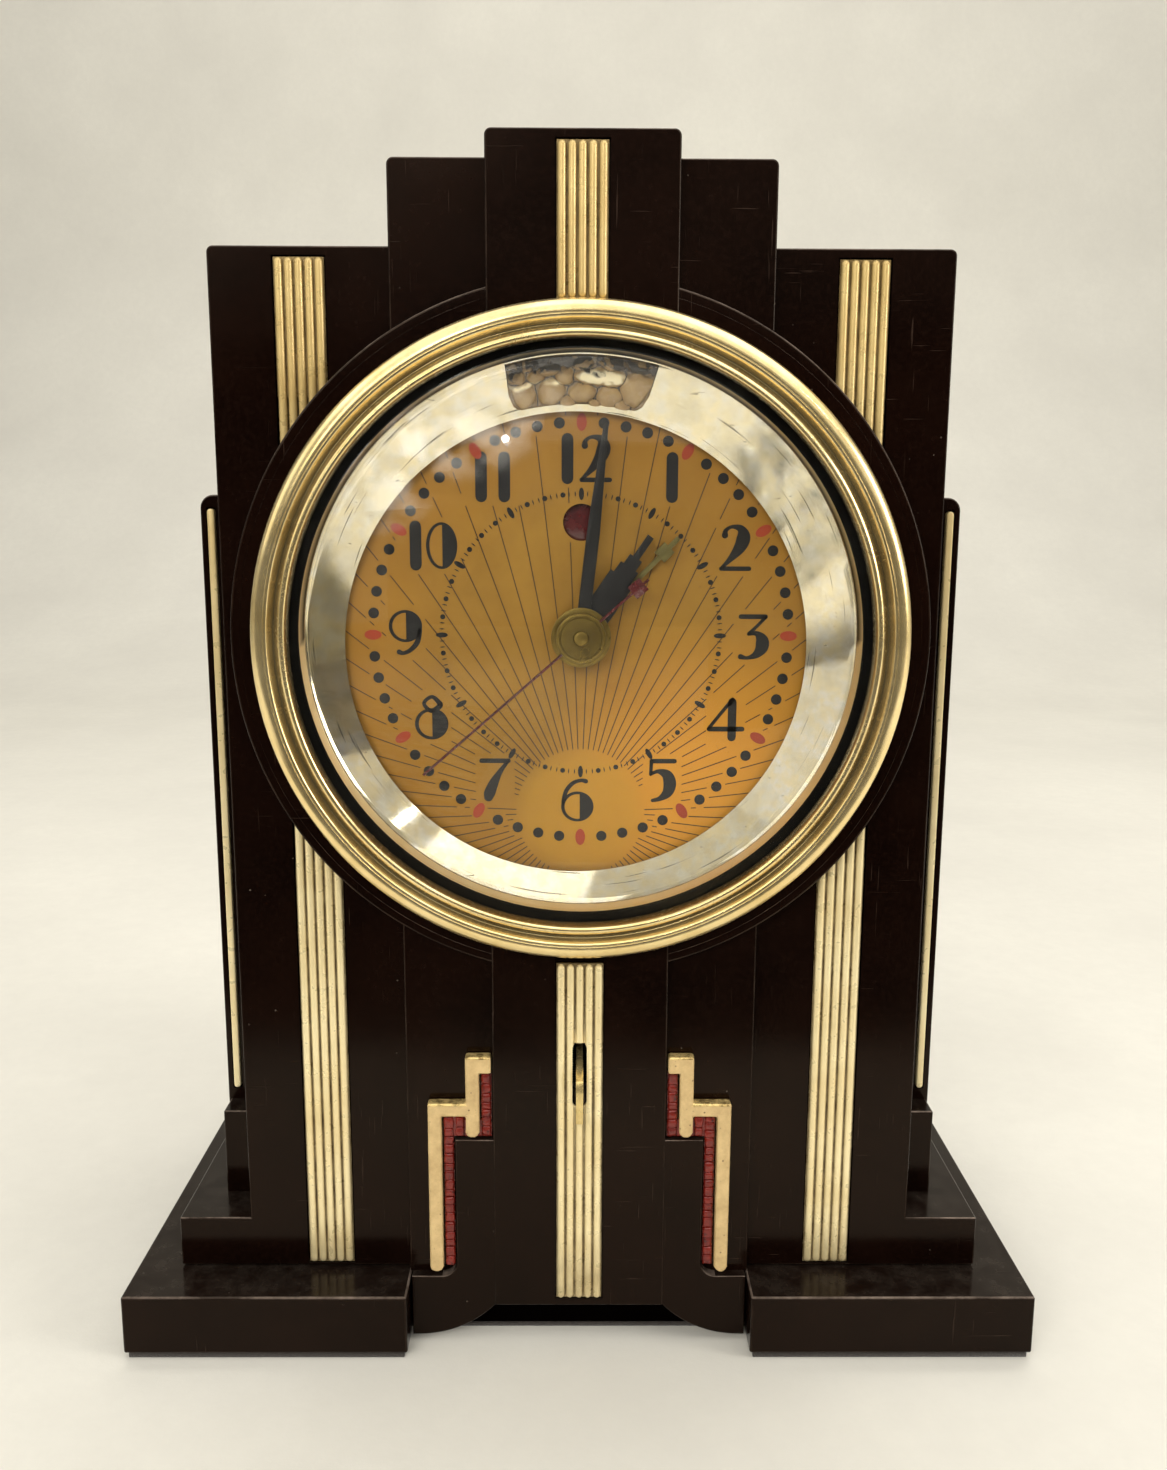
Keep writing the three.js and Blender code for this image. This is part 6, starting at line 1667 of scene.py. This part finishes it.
def coil():
    """Turns of lacquered wire wound on a flanged bobbin, round the lower leg of the core."""
    low, high = corners_of("field_coil")
    y, z = (low.y + high.y) / 2, (low.z + high.z) / 2
    hole_y, hole_z = 5.3, 4.3

    def loop(half_y, half_z, corner):
        return rounded_outline(y - half_y, y + half_y, z - half_z, z + half_z, corner, steps=5)

    def sleeve(stations):
        made = bmesh.new()
        rings = []
        for x, half_y, half_z, corner in stations:
            rings.append([made.verts.new((x, a, b)) for a, b in loop(half_y, half_z, corner)])
        for near, far in list(zip(rings, rings[1:])) + [(rings[-1], rings[0])]:
            for step in range(len(near)):
                after = (step + 1) % len(near)
                made.faces.new((near[step], near[after], far[after], far[step]))
        bmesh.ops.recalc_face_normals(made, faces=made.faces)
        return made

    half_y, half_z = (high.y - low.y) / 2, (high.z - low.z) / 2
    stations = []
    turns = 34
    inner, outer = low.x + 1.0, high.x - 1.0
    for turn in range(turns):
        x = inner + (outer - inner) * turn / turns
        step = (outer - inner) / turns
        swell = 0.25 * math.sin(math.pi * turn / turns)
        for share, lift in ((0.0, -0.22), (0.3, 0.0), (0.7, 0.0)):
            stations.append((x + share * step, half_y - 1.1 + lift + swell, half_z - 1.1 + lift + swell, 2.6))
    stations += [(outer, half_y - 1.3, half_z - 1.3, 2.6), (outer, hole_y + 0.6, hole_z + 0.6, 0.4),
                 (inner, hole_y + 0.6, hole_z + 0.6, 0.4)]
    piece("coil_turns", sleeve(stations), "coil_winding", nodes=["field_coil"], angle=60)
    flanges = []
    for start in (low.x, high.x - 0.9):
        end = start + 0.9
        face = (half_y - 0.15, half_z - 0.15, 1.2)
        rim = (half_y, half_z, 1.2)
        hole = (hole_y, hole_z, 0.3)
        flanges.append(sleeve([(start, *face), (start + 0.15, *rim), (start + 0.75, *rim), (end, *face),
                               (end, *hole), (start, *hole)]))
    piece("coil_bobbin", merged(*flanges), "black_board", angle=40)


# Materials of the CAD nodes that stay
def dress_nodes():
    """Gives the CAD nodes that stay visible the looks of their slots."""
    slots = {row["slot"] for row in frame["record"]["materials"]}
    for name, made in frame["nodes"].items():
        for place in made.material_slots:
            slot = place.material.name.split(".")[0] if place.material else ""
            place.material = LOOKS[slot] if slot in slots else LOOKS["dark_moulding"]


# Stage and lights
def skin(made, rows):
    """Faces between rows of points."""
    for low, high in zip(rows, rows[1:]):
        for step in range(len(low) - 1):
            made.faces.new((low[step], low[step + 1], high[step + 1], high[step]))


def stage():
    """The sweep of pale paper that the clock stands on."""
    made = bmesh.new()
    bend_start, bend_radius, steps = 650, 500, 16
    profile = [(-2200, 0), (bend_start, 0)]
    for step in range(1, steps + 1):
        turn = math.radians(90 * step / steps)
        y = bend_start + bend_radius * math.sin(turn)
        profile.append((y, bend_radius - bend_radius * math.cos(turn)))
    profile.append((bend_start + bend_radius, 2400))
    rows = [[made.verts.new((x, y, z)) for x in (-2200, -700, 0, 700, 2200)] for y, z in profile]
    skin(made, rows)
    mesh = mesh_of("paper_backdrop", made)
    mesh.shade_smooth()
    mesh.materials.append(LOOKS["backdrop"])
    sheet = bpy.data.objects.new("paper_backdrop", mesh)
    scene.collection.objects.link(sheet)


def dark_room():
    """Cloths before the object: dark ones seen in its gloss, and paler ones seen in the mirror."""
    def hung(x0, x1, y=-330, z0=2, z1=215):
        return [(x0, y, z0), (x1, y, z0), (x1, y, z1), (x0, y, z1)]

    def laid(x0, x1, y0, y1, z):
        return [(x0, y0, z), (x1, y0, z), (x1, y1, z), (x0, y1, z)]

    cloths = (("dark_cloth", hung(-700, 700), "dark_cloth", True),
              ("dim_cloth", hung(120, 700), "dim_cloth", False),
              ("creased_cloth", laid(-480, -70, -430, -110, 3), "creased_cloth", False),
              ("dark_floor_cloth", laid(-260, 260, -330, -150, 2), "dark_cloth", True))
    for name, corners, look, in_gloss in cloths:
        sheet = flat_sheet(name, corners, LOOKS[look])
        reflected_only(sheet, through_glass=not in_gloss, in_gloss=in_gloss)


def window_glow():
    """A soft bright pane up to the left of the camera, seen only reflected in the glass and the metal."""
    made = bmesh.new()
    layer = made.verts.layers.float.new("glow")
    steps = 60

    def eased(value):
        value = clamped(value)
        return value * value * (3 - 2 * value)

    def level(x, z):
        floor = 215 + 130 * eased((x + 400) / 170) + 60 * eased((x + 200) / 130)
        rise = eased((z - floor) / 130)
        side = eased((x + 560) / 170) * eased((60 - x) / 200)
        top = eased((650 - z) / 170)
        clutter = noise.noise(Vector((x * 0.011, z * 0.016, 4.1)))
        clutter += 0.5 * noise.noise(Vector((x * 0.035, z * 0.04, 1.7)))
        return rise * side * top * max(0.06, min(1.0, 0.5 + 1.7 * clutter))

    rows = []
    for row in range(steps + 1):
        z = 190 + 460 * row / steps
        line = []
        for column in range(steps + 1):
            x = -560 + 700 * column / steps
            vert = made.verts.new((x, -740, z))
            vert[layer] = level(x, z)
            line.append(vert)
        rows.append(line)
    skin(made, rows)
    mesh = mesh_of("window_glow", made)
    look = Look("window_glow")
    glow = look.attribute("glow")
    shine = look.light((1, 0.97, 0.86, 1), look.math("MULTIPLY", glow, 8.5))
    clear = look.add("ShaderNodeBsdfTransparent").outputs[0]
    look.shade(look.mixed_shader(look.ramp(glow, (0.0, 0.0), (0.3, 1.0)), clear, shine))
    mesh.materials.append(look.material)
    pane = bpy.data.objects.new("window_glow", mesh)
    reflected_only(pane)
    bulbs = (("bulb", (-151, -735, 458), 0.3, 8), ("far_bulb", (520, -480, 560), 0.4, 14))
    for name, place, energy, radius in bulbs:
        lamp = bpy.data.lights.new(name, "POINT")
        lamp.energy = energy
        lamp.shadow_soft_size = radius * MM
        bulb = bpy.data.objects.new(name, lamp)
        bulb.location = Vector(place) * MM
        scene.collection.objects.link(bulb)


def area_light(name, place, aim, size, power, colour=(1, 0.97, 0.92)):
    data = bpy.data.lights.new(name, "AREA")
    data.shape = "RECTANGLE"
    data.size, data.size_y = (value * MM for value in size)
    data.energy = power
    data.color = colour
    made = bpy.data.objects.new(name, data)
    made.location = Vector(place) * MM
    made.rotation_euler = (Vector(place) - Vector(aim)).to_track_quat("Z", "Y").to_euler()
    scene.collection.objects.link(made)
    return made


def reflected_only(made, through_glass=True, in_gloss=True):
    """Shows an object of the stage in reflections only: in gloss, and in the mirror behind the glass."""
    made.visible_glossy = in_gloss
    made.visible_camera = False
    made.visible_diffuse = False
    made.visible_shadow = False
    made.visible_transmission = through_glass
    scene.collection.objects.link(made)


def flat_sheet(name, corners, look):
    data = bpy.data.meshes.new(name)
    data.from_pydata([tuple(value * MM for value in corner) for corner in corners], [], [(0, 1, 2, 3)])
    data.materials.append(look)
    return bpy.data.objects.new(name, data)


def side_walls():
    """Walls of the room: a light one in the gloss at the right, and one in the mirror at the left."""
    walls = (("right_wall", 1100, 0.75, True), ("left_wall", -1100, 0.28, True),
             ("mirror_wall", -1100, 0.95, False))
    for name, x, strength, in_gloss in walls:
        look = Look(name)
        look.shade(look.light((1, 0.95, 0.84, 1), strength))
        corners = [(x, -2000, 20), (x, 300, 20), (x, 300, 1000), (x, -2000, 1000)]
        sheet = flat_sheet(name, corners, look.material)
        reflected_only(sheet, through_glass=not in_gloss, in_gloss=in_gloss)


def pale_ceiling():
    """Soft white ceilings: one seen in the brass and on the glass, and one seen in the mirror behind it."""
    corners = [(-2400, -2000, 1000), (2400, -2000, 1000), (2400, 300, 1000), (-2400, 300, 1000)]
    ceilings = (("brass_ceiling", (1, 0.98, 0.9, 1), 1.1, 1.4, True),
                ("mirror_ceiling", (1, 0.93, 0.76, 1), 0.62, 0.86, False))
    for name, colour, dim, bright, in_gloss in ceilings:
        look = Look(name)
        look.shade(look.light(colour, look.ramp(look.noise(3, 3), (0.3, dim), (0.7, bright))))
        sheet = flat_sheet(name, corners, look.material)
        reflected_only(sheet, through_glass=not in_gloss, in_gloss=in_gloss)


def lights():
    area_light("overhead_softbox", (160, 0, 950), (0, 20, 60), (1300, 1100), 6.3)
    front = area_light("front_softbox", (-215, -700, 450), (0, -40, 100), (620, 260), 4.6)
    front.visible_glossy = False
    front.visible_transmission = False
    area_light("left_softbox", (-800, -300, 620), (0, 0, 100), (500, 700), 1.2)
    area_light("right_fill", (850, -350, 380), (0, 0, 100), (260, 420), 3.4)
    area_light("backdrop_light", (120, 350, 1500), (60, 1100, 250), (1600, 300), 10.5)
    world = bpy.data.worlds.new("dim_room")
    world.use_nodes = True
    background = world.node_tree.nodes["Background"]
    background.inputs["Color"].default_value = (0.9, 0.88, 0.84, 1)
    background.inputs["Strength"].default_value = 0.22
    scene.world = world


scene.view_settings.view_transform = "Standard"
place_camera()
stage()
dark_room()
window_glow()
pale_ceiling()
side_walls()
lights()
dress_nodes()
case_moulding()
base()
strips()
ornaments()
bezel()
crystal()
gasket()
reflector()
diffuser()
dial()
printing()
hands()
flag()
front_lever()
knurled_knob("time_knob", "time_shaft", *TIME_KNOB, "time_setting")
knurled_knob("alarm_knob", "alarm_shaft", *ALARM_KNOB, "alarm_setting")
cover()
grommet()
screws()
coil()
